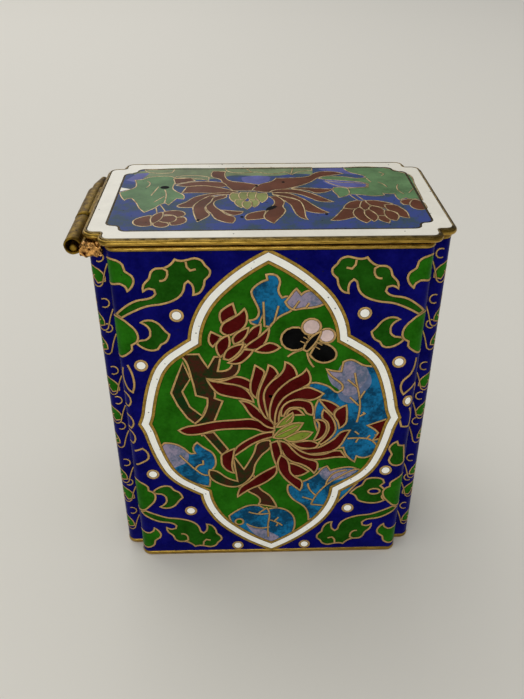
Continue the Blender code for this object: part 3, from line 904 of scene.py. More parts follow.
def draw_front_leaves(drawing, spot):
    """The blue leaves round the flower of the front panel, with their veins."""
    drawing.cell(TOP_LEAF, "teal", spot)
    drawing.cell(TOP_LEAF_LILAC, "lilac", spot)
    draw_washed_leaf(drawing, spot, RIGHT_LEAF, (RIGHT_LEAF_MIST, "mist"), (RIGHT_LEAF_LILAC, "lilac"))
    draw_washed_leaf(drawing, spot, LOW_RIGHT_LEAF, (LOW_RIGHT_LILAC, "lilac"))
    draw_washed_leaf(drawing, spot, BOTTOM_LEAF, (BOTTOM_LILAC, "lilac"))
    drawing.cell(oval((-6.75, 10.1), 0.9), "green", spot, smooth=False)
    draw_washed_leaf(drawing, spot, LOW_LEFT_LEAF, (LOW_LEFT_LILAC, "lilac"))
    for vein in FRONT_VEINS:
        drawing.line(vein, spot, width=0.36)


def draw_front_flower(drawing, spot):
    """The branches, the bud and the big chrysanthemum of the front panel."""
    drawing.cell(BRANCH_LOOP, "branch", spot, smooth=False)
    drawing.cell(BRANCH_EYE, "green", spot, smooth=False)
    for finish, outlines in (
        ("branch", BRANCHES),
        ("maroon", FRONT_BUD),
        ("maroon", FRONT_FLOWER),
        ("lime", FRONT_HEART),
    ):
        for outline in outlines:
            drawing.cell(outline, finish, spot)
    for crease in ([(4.6, 40.1), (3.2, 38.4)], [(1.4, 34.9), (5.6, 37.3)]):
        drawing.line(crease, spot, width=0.25)
    drawing.cell(FALLEN_PETAL, "maroon", spot)


def draw_butterfly(drawing, spot):
    """The butterfly: two feelers, two dark wings, two pale spots and a body with fine hairs."""
    for feeler in ([(6.4, 56), (5, 55.6), (3.25, 54.4)], [(7, 55.4), (7.4, 53.6), (8.4, 51.9)]):
        drawing.line(feeler, spot, width=0.4)
    drawing.cell(oval((4.6, 58.4), 2.7, 2.6), "black", spot, smooth=False)
    drawing.cell(LOWER_WING, "black", spot)
    drawing.cell(oval((7.6, 61), 1.8), "blush", spot, smooth=False)
    drawing.cell(oval((10.6, 59), 1.6), "blush", spot, smooth=False)
    drawing.petal([(6.6, 55.75), (8, 58), (9.5, 60)], 1.5, "black", spot)
    for hair in (
        [(6.9, 57.2), (5.6, 57.9)],
        [(7.4, 58), (6.2, 58.8)],
        [(8.2, 56.8), (9.4, 56)],
        [(8.7, 57.6), (9.8, 56.9)],
    ):
        drawing.line(hair, spot, width=0.2)


def draw_front(drawing, sizes, tilt=math.radians(0.8)):
    """The long side in front. Its panel is a little tilted, as laid by hand."""
    draw_corners(drawing, 0.0)
    draw_edges(drawing, 0.0)
    for across in (-7.2, 8.1):
        dot(drawing, (across, 2.5), HERE, 1.1)
    drawing.fill(quatrefoil(HERE, 0.0, tilt), "green")
    draw_front_leaves(drawing, HERE)
    draw_front_flower(drawing, HERE)
    draw_butterfly(drawing, HERE)
    draw_panel_edge(drawing, sizes, HERE, tilt)


def draw_blossom(drawing, spot, centre, radius, count):
    """A plain round blossom of two rings of pointed petals about a lime heart."""
    centre = Vector(centre)
    width = math.tau * radius * 0.62 / count
    for ring, reach in ((0.5, 1.0), (0.0, 0.7)):
        for index in range(count):
            turn = math.tau * (index + ring) / count
            out = Vector((math.cos(turn), math.sin(turn))) * radius
            aside = Vector((-out.y, out.x)) * 0.12
            path = (centre, centre + out * reach * 0.6 + aside, centre + out * reach)
            drawing.petal(path, width, "maroon", spot)
    drawing.cell(oval(centre, radius * 0.2), "lime", spot, smooth=False)


def draw_plain_leaf(drawing, spot, base, tip, width):
    """A plain pointed leaf with its midrib."""
    base, tip = Vector(base), Vector(tip)
    bend = Vector((-(tip - base).y, (tip - base).x)) * 0.12
    path = (base, (base + tip) / 2 + bend, tip)
    drawing.petal(path, width, "teal", spot)
    drawing.line(path[:2], spot)


def draw_back(drawing, sizes, middle):
    """The hidden long side: the same border and corners, with a plainer spray in its panel."""
    draw_corners(drawing, middle)
    draw_edges(drawing, middle)
    spot = Spot(middle)
    drawing.fill(quatrefoil(spot), "green")
    for base, tip, width in (
        ((2, 30), (15, 22), 6),
        ((-2, 28), (-15, 24), 6),
        ((4, 50), (16, 50), 6),
        ((-4, 52), (-8, 65), 5.5),
        ((0, 20), (0, 6), 6),
        ((3, 60), (6, 70), 4),
    ):
        draw_plain_leaf(drawing, spot, base, tip, width)
    drawing.cell([(-1, 12), (-2.4, 24), (-1, 36), (0.6, 36), (-0.8, 24), (0.4, 12)], "branch", spot)
    drawing.cell([(-1, 46), (-4, 54), (-2, 62), (-0.6, 62), (-2.4, 54), (0.6, 46)], "branch", spot)
    draw_blossom(drawing, spot, (0, 39), 13, 12)
    draw_blossom(drawing, spot, (-0.5, 63), 4.6, 7)
    draw_panel_edge(drawing, sizes, spot)


def draw_end(drawing, sizes, middle, mirrored):
    """A narrow end: a slim panel with three blossoms, and a leaf in each corner."""
    # The long side's corner leaf, narrowed about its outer edge and moved in to the end's corner.
    edge, narrowed, inwards = -27.2, 0.6, 13.2
    for inverted in (False, True):
        for side in (False, True):
            corner = Spot(middle + (-inwards if side else inwards), side, inverted, narrowed, edge)
            drawing.cell(BIG_LEAF, "leaf", corner)
            dot(drawing, (-11.4, 53.5), Spot(middle, side, inverted), 1.05)
    slim = Spot(middle, mirrored, False, 0.41)
    plain = Spot(middle, mirrored)
    drawing.fill(quatrefoil(slim), "green")
    for base, tip in (((0, 26), (6.4, 34)), ((0, 22), (-6.2, 30)), ((0, 56), (5, 64)), ((0, 52), (-5.4, 60))):
        draw_plain_leaf(drawing, plain, base, tip, 4)
    drawing.cell([(-0.9, 10), (-0.4, 24), (-0.8, 36), (0.8, 36), (1, 24), (0.7, 10)], "branch", plain)
    drawing.cell([(-0.7, 46), (0.4, 56), (-0.4, 66), (0.6, 66), (1.5, 56), (0.8, 46)], "branch", plain)
    for up, radius, count in ((41, 7, 9), (67, 2.8, 6), (14, 3.4, 7)):
        draw_blossom(drawing, plain, (0, up), radius, count)
    draw_panel_edge(drawing, sizes, slim)


def case_enamels(colours):
    """The enamels of the case. Their shine is held low: the polish is worn and dusty."""
    shine = 0.025
    mist = [(a + b) / 2 for a, b in zip(colours.lilac, colours.teal)]
    return {
        "cobalt": enamel("Cobalt enamel", colours.cobalt, shine),
        "green": enamel("Green enamel", colours.green, shine),
        "leaf": enamel("Leaf green enamel", colours.leaf, shine),
        "white": enamel("White enamel", colours.white, 0.2, 0.05, apart=1.4),
        "maroon": enamel("Maroon enamel", colours.maroon, shine),
        "teal": enamel("Teal enamel", colours.teal, shine, fleck=linear("#0c3c58")),
        "lilac": enamel("Lilac enamel", colours.lilac, shine, 0.3, fleck=linear("#586478")),
        "mist": enamel("Misted blue enamel", mist, shine),
        "lime": enamel("Lime enamel", colours.lime, shine, 0.25),
        "branch": enamel("Branch enamel", colours.branch, shine, 0.3, fleck=linear("#142e10")),
        "black": enamel("Black enamel", colours.black, shine),
        "blush": enamel("Blush enamel", colours.blush, 0.2, 0.2),
        "brass": worn_brass("Stoned brass wire", colours.wire, [c * 0.75 for c in colours.wire]),
        "rim": worn_brass(
            "Stoned brass border strip", colours.brass, [c * 0.6 for c in colours.brass], patch=0.8
        ),
        # The dark line beside the wires: grime with painted shade.
        "seam": enamel("Grime and painted shade beside the wires", linear("#0c0805"), shine),
        "counter": enamel("Counter enamel", linear("#123a5c"), 0.3),
    }


def extrude_rim(bm, rim, move):
    """Extrudes a rim and moves each new vertex to where move puts it. Gives the new rim and its faces."""
    made = bmesh.ops.extrude_edge_only(bm, edges=rim)["geom"]
    verts = {item for item in made if isinstance(item, bmesh.types.BMVert)}
    for vert in verts:
        vert.co = move(vert)
    faces = [item for item in made if isinstance(item, bmesh.types.BMFace)]
    return [item for item in made if isinstance(item, bmesh.types.BMEdge) and set(item.verts) <= verts], faces


def sharpen(bm, degrees=50):
    """Marks the edges that turn more than that as sharp."""
    for edge in bm.edges:
        if edge.is_manifold and edge.calc_face_angle() > math.radians(degrees):
            edge.smooth = False


def case_plan(sizes):
    """The outline of the case, in millimetres."""
    lengths = (CASE_HIGH[0], CASE_HIGH[1], sizes.step, sizes.rounding, sizes.fillet)
    return SteppedPlan(*(length / MM for length in lengths), sizes.arc_pieces)


def lid_plan(sizes):
    """The outline that the lid's band, bead and enamel follow, in millimetres."""
    lengths = (CASE_HIGH[0], CASE_HIGH[1], sizes.lid_step, sizes.lid_rounding, sizes.lid_fillet)
    return SteppedPlan(*(length / MM for length in lengths), sizes.arc_pieces)


def draw_case(plan, sizes, low, high):
    """The drawing of all four sides between two heights, unrolled from the middle of the front."""
    # Its seam is in the corner at the back on the left.
    seam = -plan.length / 4 - CASE_HIGH[1] / MM + sizes.step / MM / 2
    ground = [(seam, low), (seam + plan.length, low), (seam + plan.length, high), (seam, high)]
    drawing = Drawing([Vector(point) for point in ground], "cobalt", sizes.wire / MM)
    for bend in plan.bends:
        for station in (bend, bend - plan.length):
            if seam < station < seam + plan.length:
                drawing.guide((station, low), (station, high))
    # The ends and the back have no dark line beside their wires, which keeps the mesh light.
    dirt_and_shade_width = drawing.seam
    for middle in (0.0, plan.length / 2, -plan.length / 2):
        drawing.seam = 0.0 if middle else dirt_and_shade_width
        draw_corner_columns(drawing, middle)
    drawing.seam = dirt_and_shade_width
    draw_front(drawing, sizes)
    drawing.seam = 0.0
    draw_end(drawing, sizes, plan.length / 4, False)
    draw_end(drawing, sizes, -plan.length / 4, True)
    draw_back(drawing, sizes, plan.length / 2)
    return drawing


class EnamelBoxCase(bpy.types.Operator):
    """Lays the enamels and wires on the case and closes them into a hollow box"""

    bl_idname = "enamel_box.case"
    bl_label = "Case Enamels"

    def execute(self, context):
        sizes = context.scene.enamel_box_sizes
        materials = case_enamels(context.scene.enamel_box_colours)
        plan = case_plan(sizes)

        def place(station, height, growth):
            return plan.place(station, height, growth / MM) * MM

        drawing = draw_case(plan, sizes, FOOT_HIGH[2] / MM, MOUTH_LOW[2] / MM)
        bm = drawing.skin(place, materials, sizes.wire_crown)
        bmesh.ops.remove_doubles(bm, verts=bm.verts, dist=2e-7)
        at = bm.verts.layers.float_vector["drawn"]
        ends = {True: [], False: []}
        for edge in bm.edges:
            if edge.is_boundary:
                ends[edge.verts[0].co.z > CASE_HIGH[2] / 2].append(edge)
        outside = set(bm.faces)
        # The wall turns in under the mouth's band and goes down to the base, and tucks in behind the foot's.
        for top, growth, heights in (
            (True, -sizes.wall, (MOUTH_LOW[2], sizes.base)),
            (False, -sizes.tuck, (FOOT_HIGH[2], 0.0)),
        ):
            rim = ends[top]
            for height in heights:
                rim, _ = extrude_rim(bm, rim, lambda vert: place(vert[at].x, height / MM, growth))
            bmesh.ops.contextual_create(bm, geom=rim)
        inside = [face for face in bm.faces if face not in outside]
        counter = list(materials).index("counter")
        for face in inside:
            face.material_index = counter
        bmesh.ops.triangulate(bm, faces=[face for face in inside if len(face.verts) > 4])
        bmesh.ops.recalc_face_normals(bm, faces=bm.faces)
        sharpen(bm, 35)
        finished("case_enamel", bm, materials.values(), "box", ["case"])
        return {"FINISHED"}


# The drawing of the lid: x to the right and y to the back, in millimetres from the lid's middle.

LID_CLOUDS = (
    ("olive", [(-28.1, 14.2), (-22.3, 16.6), (-11.2, 16.8), (1.1, 16.7), (10, 16.7), (9.9, 12), (5.9, 12.7),
     (2.9, 11.7), (-2.1, 11.6), (-7.1, 12), (-9, 10.9), (-14.8, 9.2), (-18.7, 8.8), (-22.7, 10.3),
     (-26.7, 10.7)]),
    ("violet", [(-29, 9.7), (-27.1, 13.8), (-24.6, 14), (-25.3, 11.5), (-26.9, 8.5)]),
    ("violet", [(-5.1, 10.8), (-2.1, 11.8), (0.9, 10.9), (-0.2, 7.6), (-2.7, 6.6), (-4.6, 8)]),
    ("violet", [(11.2, 15.8), (17.9, 16.4), (20.8, 11.6), (16.9, 12.4), (13.1, 13.9)]),
    ("violet", [(11.5, 8.3), (14.5, 9.3), (19.3, 8.1), (21, 6.4), (19.1, 3.8), (14.9, 4.2)]),
)
LID_LEAVES = (
    ("green", [(-29.3, 2.8), (-27.7, 4.1), (-26.5, 5.7), (-26.5, 7.1), (-27.1, 9.7), (-25.5, 10.2),
     (-24.3, 11.4), (-22, 11.9), (-19.8, 11.7), (-18.8, 10.4), (-18.8, 7.8), (-18.9, 4.5), (-17.8, 2.6),
     (-16.6, 1.1), (-16.4, -1.2), (-17.8, -0.8), (-19.1, -4.2), (-19.8, -3.1), (-20.7, -3.9), (-21.5, -5.5),
     (-23.3, -7.7), (-24.5, -5.5), (-25.3, -3.1), (-26.5, -0.5), (-27.1, -0.5), (-27.8, -1.5),
     (-28.6, 0.2)]),
    ("olive", [(-25.7, 16), (-24.8, 14.5), (-19.8, 14.1), (-19.4, 16.2)]),
    ("olive", [(-18.8, 11.6), (-14.8, 12.2), (-11.9, 11.1), (-11.9, 9), (-15.6, 10.7), (-19, 10.5)]),
    ("olive", [(-8.5, 16.8), (-7.9, 14.5), (-5, 13.5), (-2, 14.1), (1, 12.8), (4, 14.1), (5.5, 12.2),
     (6.9, 13.9), (9.9, 14.7), (9.9, 16.8)]),
    ("green", [(16.8, 16.3), (17.8, 13.5), (20.4, 11.2), (20.7, 10.2), (18.8, 9.7), (16.3, 10.7),
     (11.9, 10.9), (10.9, 9.7), (11.9, 9.3), (15.8, 8.4), (19.3, 7.4), (20.7, 6.3), (20.3, 4.4), (16.2, 4),
     (16.3, 2.1), (16.1, 0.7), (18.6, 0.2), (20.3, -0.4), (22.3, -0.3), (23, 0), (22.8, 1), (23.8, 0.7),
     (25.1, 0.6), (25.2, -1.7), (25.5, -2.7), (26.9, -1.5), (27.7, -2.3), (28.7, -2.2), (29.9, -2.9),
     (30.1, 5.9), (30.1, 11.6), (28.3, 13.5), (25.7, 16)]),
    ("green", [(13.4, 4.4), (13.1, 2.6), (13.6, 0.7), (13.9, -1.1), (15.1, -0.5), (16.1, 0.7), (16.3, 2.1),
     (16.1, 4), (14.8, 4.5)]),
    ("violet", [(12, 8.4), (15, 7.4), (18.6, 6.9), (20.4, 6.2), (20, 4.6), (17, 4.3), (14.6, 5.2)]),
)
LID_FLOWER = (
    [(-11.1, 14.9), (-11.5, 12.6), (-11.1, 11.1), (-9.5, 9.7), (-9, 7.8), (-8.1, 5.8), (-6.9, 3.2),
     (-3, 3.2), (-1.6, 6.3), (-5, 7.8), (-7.5, 8.8), (-8.5, 11.1), (-8.5, 14.5)],
    [(-19.2, 10.3), (-15.6, 10.7), (-14.7, 9), (-18.6, 7.2)],
    [(-18.4, 6.5), (-14.8, 8.4), (-10.9, 8.4), (-8.9, 7.6), (-8.1, 5.8), (-9.9, 5.1), (-12.9, 6.1),
     (-16.2, 5.7)],
    [(-17, 2), (-16.4, 4.5), (-16.2, 5.5), (-12.9, 6.1), (-9.9, 5.1), (-6.9, 3.2), (-5.7, 2.3), (-9.9, 1.8),
     (-13.9, 2.2)],
    [(0.5, 2.1), (4, 4), (6.4, 5.4), (8.9, 7.6), (10.6, 10), (11.6, 10.9), (15.1, 12.1), (16.3, 12.6),
     (14.8, 13.7), (11.4, 13.9), (9.9, 12.6), (8.9, 11.2), (5.2, 10.3), (2, 10.2), (1.2, 8.5), (-1.5, 6.4),
     (-3, 3.4)],
    [(-17.4, -4.7), (-15.8, -2.7), (-14.4, -0.3), (-12.4, 1.1), (-8.9, 2.1), (-6.9, 2.3), (-6.4, 1.1),
     (-8.4, 1.1), (-10.4, 0.7), (-12.1, -0.5), (-13.6, -2.9), (-14.3, -4.8), (-14.4, -5.5), (-16.3, -5.5),
     (-17.3, -5.1)],
    [(-14.3, -5.1), (-14.2, -7.4), (-13.8, -9.8), (-13.2, -12.4), (-11.9, -10.8), (-11.1, -9.3),
     (-11.9, -7), (-12, -5.1), (-11.1, -2.7), (-10.3, 0), (-11.4, 0.4), (-13.5, -2.7)],
    [(-10.4, -0.3), (-11, -2.7), (-11.9, -5.1), (-11.6, -7), (-10.9, -8.4), (-9.9, -11.2), (-7.9, -12.9),
     (-6.8, -13.2), (-6.3, -11.2), (-6.7, -10.1), (-7.9, -9.2), (-8.9, -7.4), (-10.1, -5.3), (-10.5, -3.6),
     (-10.1, -2.1), (-8.2, -0.5), (-8.1, 0.8)],
    [(-4.9, -7.7), (-5, -8.5), (-6.7, -9.6), (-7.4, -9.1), (-8.5, -7.7), (-8.9, -7), (-8.1, -7.1),
     (-6.4, -7.5)],
    [(4.7, 4.4), (8.9, 4.2), (10.9, 3.8), (13.1, 3.6), (12.5, 2.6), (10.6, 1.5), (9.7, 1.4), (8.4, 2.6),
     (7.2, 3.3), (5, 4)],
    [(0.5, 2.3), (1.5, 3.3), (5, 3.6), (7.2, 2.6), (9.7, 0.2), (11.4, -2), (12.6, -3.3), (11.4, -3.4),
     (9.7, -2.9), (8.2, -1.2), (6.4, 0.7), (4.5, 1.7), (1, 1.9)],
    [(1, 0.9), (1, 1.7), (4, 1.5), (5.4, 0.2), (7.2, -2.2), (8.4, -4.6), (9.9, -7.2), (11.1, -8.6),
     (9.9, -9), (8.2, -8.6), (6.9, -7.7), (6.7, -6.5), (6.4, -4.1), (5.4, -1.7), (3.5, -0.3)],
    [(1, 0.7), (4, -1), (5.9, -2.4), (6.5, -4.6), (6.7, -7.7), (6.7, -10.8), (7, -12), (5.9, -11.2),
     (5, -9.3), (4.6, -7), (4.2, -4.6), (3.5, -3.1), (2.7, -1.7), (1.5, 0)],
    [(-4.5, -11), (-4, -9.1), (-2.7, -8.1), (-0.5, -7.4), (-0.9, -9.3), (-1, -11.2), (-2.5, -11.6),
     (-4.2, -11.8)],
    [(0.2, -0.3), (1.7, 0), (2.7, -1.7), (3.1, -3.1), (2.7, -5.5), (3.1, -7.4), (2.5, -9.6), (1.5, -11.7),
     (0.7, -13.5), (-0.5, -12), (-1, -10.8), (-0.9, -9.3), (-0.2, -7.4), (0.4, -5.7), (1.1, -4.1),
     (1.1, -2.2)],
)
LID_BUDS = (
    [(-21.9, -9.3), (-23.3, -9.8), (-24.8, -11.5), (-24.5, -13.4), (-23, -14.3), (-21.4, -13.9)],
    [(-21.2, -13.1), (-20.2, -12), (-18.8, -12.7), (-18.2, -13.6), (-18.8, -14.6), (-20, -14.7),
     (-21, -13.9)],
    [(-19.7, -9.6), (-17.8, -9.3), (-17.1, -10.5), (-17.2, -11.7), (-18.2, -12.7), (-19.9, -12.2),
     (-20.3, -11.7)],
    [(-17.1, -10.4), (-15.8, -10.1), (-15.3, -11), (-15.3, -12.4), (-16.3, -13.6), (-17.8, -13.9),
     (-18.2, -12.8), (-17.2, -11.7)],
    [(-19.8, -7.7), (-18.3, -7), (-16.3, -7.4), (-15.6, -8.6), (-15.9, -9.6), (-17.1, -10.3), (-17.8, -9.3),
     (-19.6, -9.1)],
    [(-20.2, -7.7), (-21.3, -8.9), (-21.8, -10.8), (-21.5, -12.7), (-21, -12.9), (-20, -11.2),
     (-19.7, -9.6), (-19.8, -7.9)],
    [(11.1, -12.3), (12.4, -10.1), (13.6, -7.7), (14.1, -6.7), (16.3, -7), (15.8, -8.1), (15.6, -9.6),
     (15.8, -10.8), (14.4, -11.7), (12.9, -12.4)],
    [(14.1, -6.5), (14.8, -4.8), (15.8, -3.4), (17.3, -2.8), (18.1, -3.1), (17.6, -4.6), (17.3, -6),
     (16.3, -7)],
    [(18.6, -2.7), (19.1, -3.9), (19.3, -5.3), (18.6, -7.2), (18.1, -7.7), (17.3, -6), (17.6, -4.6),
     (18.1, -3.1)],
    [(18.8, -2.8), (20.8, -2.9), (22.3, -3.6), (23.8, -4.6), (22, -5.1), (22.2, -7.4), (20.8, -6),
     (19.6, -5.4)],
    [(22.2, -5.1), (24, -5.1), (25, -6.7), (25.7, -8.6), (25.7, -10.5), (25.6, -11.7), (23.8, -10.5),
     (23.8, -9.1), (22.4, -7.7)],
    [(18.8, -7.2), (19.6, -5.5), (20.8, -6.2), (21.5, -7.4), (21.5, -9.1), (21.2, -10.4), (20, -10.2),
     (19.6, -9.1)],
    [(17.3, -6.1), (17.8, -7.9), (17.7, -9.6), (18.2, -11.2), (18.4, -12.3), (17.4, -13.7), (16.3, -12.2),
     (15.8, -10.8), (15.6, -9.3), (16.1, -7.4)],
    [(20, -10.4), (21.5, -10.5), (21.9, -12.4), (21.5, -13.9), (20, -12.4), (19.7, -11.6)],
    [(21.7, -7.7), (23.3, -8.6), (23.9, -10.1), (23.4, -12.2), (23, -12.8), (21.9, -12.1), (21.4, -10.3)],
    [(18, -7.7), (18.8, -7.4), (19.8, -9.6), (20, -10.5), (19.7, -12), (18.9, -13.1), (18.3, -12),
     (17.7, -9.6)],
    [(25.6, -4.6), (25.5, -3.4), (26.5, -2.4), (28.2, -2.4), (27.2, -4.1), (26.8, -5.3), (25.8, -5.1)],
    [(28.5, -2.4), (29.7, -3.9), (29.9, -5.5), (29.7, -7.2), (28.5, -7.8), (27.2, -6.7), (27, -5.1),
     (27.7, -3.1)],
)
LID_VEINS = (
    [(-21.9, 5.7), (-22.9, 0.9)],
    [(-20.5, 4), (-20, 1.6), (-20, -3.1)],
    [(-20.3, 0.4), (-22, -2.7)],
    [(-24.3, 5.4), (-23.8, 7.8), (-24.5, 9)],
    [(-21.3, -5.5), (-20.9, -8.1)],
    [(-20.7, -3.9), (-19.4, -7.4)],
    [(16.1, 0.4), (17.3, -2.7)],
    [(17.4, 0.2), (18.4, -2.4)],
    [(28, 1.1), (29.7, 4)],
    [(24, 13.5), (24.9, 12.2), (24.2, 11.1)],
    [(22.8, 7.4), (23.8, 5.9), (24.2, 4.4)],
    [(26.7, 5.9), (26.1, 3), (26.9, 0.6)],
    [(5.9, 16.4), (5.2, 12.2)],
    [(-4, 16), (-3, 14.1)],
    [(20.8, 9.7), (21.4, 7.3)],
)
LID_SCALES = (
    ([(-6.2, 1.7), (-6.4, -3.2)], 2.5),
    ([(-4.5, 2.3), (-4.9, -2.3)], 2.1),
    ([(-3, 2.3), (-3.1, -2.5)], 2),
    ([(-1.2, 1.7), (-1.2, -3.4)], 2.4),
    ([(-5.5, -1.8), (-5.2, -5.9)], 2.1),
    ([(-2.8, -1.9), (-2.7, -5.7)], 2),
    ([(-4.1, -2.7), (-4.1, -6.7)], 1.9),
)


def rounded(corners, radius, pieces=4):
    """A closed outline with each corner cut to an arc."""
    outline = []
    for index, corner in enumerate(corners):
        corner = Vector(corner)
        before = (Vector(corners[index - 1]) - corner).normalized() * radius
        after = (Vector(corners[(index + 1) % len(corners)]) - corner).normalized() * radius
        for piece in range(pieces + 1):
            turn = math.pi / 2 * piece / pieces
            outline.append(corner + before * (1 - math.sin(turn)) + after * (1 - math.cos(turn)))
    return outline


def draw_lid(drawing, half_width, half_depth, border, notch):
    """The blue field inside the lid's white border, with its chrysanthemum, buds and leaves."""
    across, deep = half_width - border, half_depth - border
    quarter = [(across, deep - notch), (across - notch, deep - notch), (across - notch, deep)]
    corners = quarter + [(-x, y) for x, y in quarter[::-1]]
    corners += [(-x, -y) for x, y in corners]
    # The arcs in a notch all but meet.
    field = rounded(corners, notch / 2 - 0.02)
    drawing.fill(field, "blue")
    # Clouds of grey green and violet along the back, run together without wires.
    for finish, outline in LID_CLOUDS:
        drawing.cell(outline, finish, wired=False)
    for finish, outline in LID_LEAVES:
        drawing.cell(outline, finish)
    for outline in LID_FLOWER + LID_BUDS:
        drawing.cell(outline, "maroon")
    for vein in LID_VEINS:
        drawing.line(vein)
    for path, width in LID_SCALES:
        drawing.petal(path, width, "lime", base=0.7)
    # Two deep pits and five small ones where the enamel has come away, and a white chip beside the left leaf.
    drawing.fill(oval((-20.6, 5.3), 0.95, 0.9, 9), "black")
    drawing.fill(petal([(1.4, -5.2), (0.4, -6.2), (-0.6, -7.6)], 1.3), "black")
    for centre in ((-13.1, -11.7), (3.4, 7.8), (-2.1, 5.7), (-5.1, -10.4), (10.6, -9.4)):
        drawing.fill(oval(centre, 0.34, 0.5, 8), "black")
    drawing.fill(HERE([(-29.7, 5.6), (-27.4, 4.5), (-29.5, 3.2)]), "white")
    drawing.wired(field, 0.34, True, "rim")


def lid_enamels():
    """The enamels of the lid. Their colours are greyed and paled: a painted reflection of the bright room on
    the lid's top.
    """
    return {
        "white": enamel("White lid enamel", linear("#dfd9c8"), 0.14, 0.05, 1.2, apart=2.3),
        "blue": enamel("Blue lid enamel", linear("#303c6e"), 0.045, 0.3, 1.2, 0.3, linear("#3a4a56")),
        "green": enamel("Green lid enamel", linear("#58764c"), 0.08, 0.3, 1.2, 0.3),
        "olive": enamel("Olive lid enamel", linear("#6c7854"), 0.08, 0.3, 1.2, 0.3),
        "violet": enamel("Violet lid enamel", linear("#54568a"), 0.08, 0.3, 1.2, 0.3),
        "maroon": enamel("Maroon lid enamel", linear("#5e341f"), 0.08, 0.3, 1.2, 0.3),
        "lime": enamel("Lime lid enamel", linear("#7c8048"), 0.08, 0.25, 1.2, 0.3),
        "black": enamel("Bare pit", linear("#080605"), 0.1, 0.2, 0.0, 0.6),
        "brass": worn_brass("Stoned lid wire", linear("#f0d8a8"), linear("#b09468")),
        "rim": worn_brass("Tarnished lid strip", linear("#6c5c3c"), linear("#2c2418"), patch=0.6),
        # The dark line beside the lid's wires: grime with painted shade.
        "seam": enamel("Grime and painted shade beside the lid wires", linear("#1c1a18"), 0.3),
    }


class EnamelBoxLid(bpy.types.Operator):
    """Lays the enamels and wires in the lid's tray"""

    bl_idname = "enamel_box.lid"
    bl_label = "Lid Enamels"

    def execute(self, context):
        sizes = context.scene.enamel_box_sizes
        materials = lid_enamels()
        # The enamel reaches a little under the bead.
        inset = sizes.lid_bead / MM - 0.03
        drawing = Drawing(lid_plan(sizes).loop(-inset), "white", sizes.lid_wire / MM)
        border, notch = sizes.lid_border / MM, sizes.lid_notch / MM
        draw_lid(drawing, CASE_HIGH[0] / MM - inset, CASE_HIGH[1] / MM - inset, border, notch)
        top = PANEL_HIGH[2] - sizes.wire_crown

        def place(across, deep, growth):
            return Vector((across * MM, deep * MM, top + growth))

        bm = drawing.skin(place, materials, sizes.wire_crown)
        rim = [edge for edge in bm.edges if edge.is_boundary]
        for edge in rim:
            edge.smooth = False
        rim, _ = extrude_rim(bm, rim, lambda vert: (vert.co.x, vert.co.y, PANEL_LOW[2]))
        base = bmesh.ops.contextual_create(bm, geom=rim)["faces"]
        bmesh.ops.triangulate(bm, faces=base)
        bmesh.ops.recalc_face_normals(bm, faces=bm.faces)
        finished("lid_enamel", bm, materials.values(), "lid", ["lid_panel"])
        return {"FINISHED"}


def half_round(inner, outer, low, high, pieces=8):
    """The profile of a half-round moulding from its lower edge to its upper edge."""
    profile = []
    for piece in range(pieces + 1):
        turn = math.pi * (piece / pieces - 0.5)
        up = (low + high) / 2 + (high - low) / 2 * math.sin(turn)
        profile.append((inner + (outer - inner) * math.cos(turn), up, BRASS))
    return profile


def beaded(outer, inner, low, high, pieces=6):
    """The profile of a bead that rises from its outer foot, over its crown, to its inner foot."""
    middle, half = (outer + inner) / 2, (outer - inner) / 2
    turns = [math.pi * piece / pieces for piece in range(pieces + 1)]
    return [(middle + half * math.cos(turn), low + (high - low) * math.sin(turn), BEAD) for turn in turns]


def swept(plan, profile, ring):
    """Extrudes a profile of (growth, height, finish) round the plan.

    A ring is joined up. Anything else is closed above in brass and below in counter enamel.
    """
    bm = bmesh.new()
    knot = bm.verts.layers.int.new("knot")
    growth, height, _ = profile[0]
    verts = [bm.verts.new((point.x * MM, point.y * MM, height * MM)) for point in plan.loop(growth)]
    for index, vert in enumerate(verts):
        vert[knot] = index
    first = [bm.edges.new(pair) for pair in zip(verts, verts[1:] + verts[:1])]
    rim = first
    for growth, height, finish in profile[1:]:
        places = [(point.x * MM, point.y * MM, height * MM) for point in plan.loop(growth)]
        rim, faces = extrude_rim(bm, rim, lambda vert: places[vert[knot]])
        for face in faces:
            face.material_index = finish
    if ring:
        bmesh.ops.bridge_loops(bm, edges=first + rim)
    else:
        for end, finish in ((first, COUNTER), (rim, BRASS)):
            closing = bmesh.ops.contextual_create(bm, geom=end)["faces"]
            closing[0].material_index = finish
            bmesh.ops.triangulate(bm, faces=closing)
    bmesh.ops.remove_doubles(bm, verts=bm.verts, dist=1e-7)
    bmesh.ops.recalc_face_normals(bm, faces=bm.faces)
    sharpen(bm)
    return bm


def foot_profile():
    """The half-round at the foot. It starts behind the case's outline, where the wall is tucked in."""
    crown, back = 0.22, -0.55
    stand, high = (FOOT_HIGH[0] - CASE_HIGH[0]) / MM, FOOT_HIGH[2] / MM
    # Its top, tucked in under the case's wall, is dark brass: grime with painted shade.
    return [(back, 0.0, BRASS)] + half_round(stand - crown, stand, 0.0, high) + [(back, high, GRIME_AND_SHADE)]


def mouth_profile(sizes):
    """The half-round at the mouth, which covers the whole wall."""
    crown, back = 0.32, -sizes.wall / MM
    stand, low, high = (FOOT_HIGH[0] - CASE_HIGH[0]) / MM, MOUTH_LOW[2] / MM, MOUTH_HIGH[2] / MM
    # Its top, under the lid, is dark brass: grime with painted shade.
    return [(back, low, BRASS)] + half_round(stand - crown, stand, low, high) + [(back, high, GRIME_AND_SHADE)]


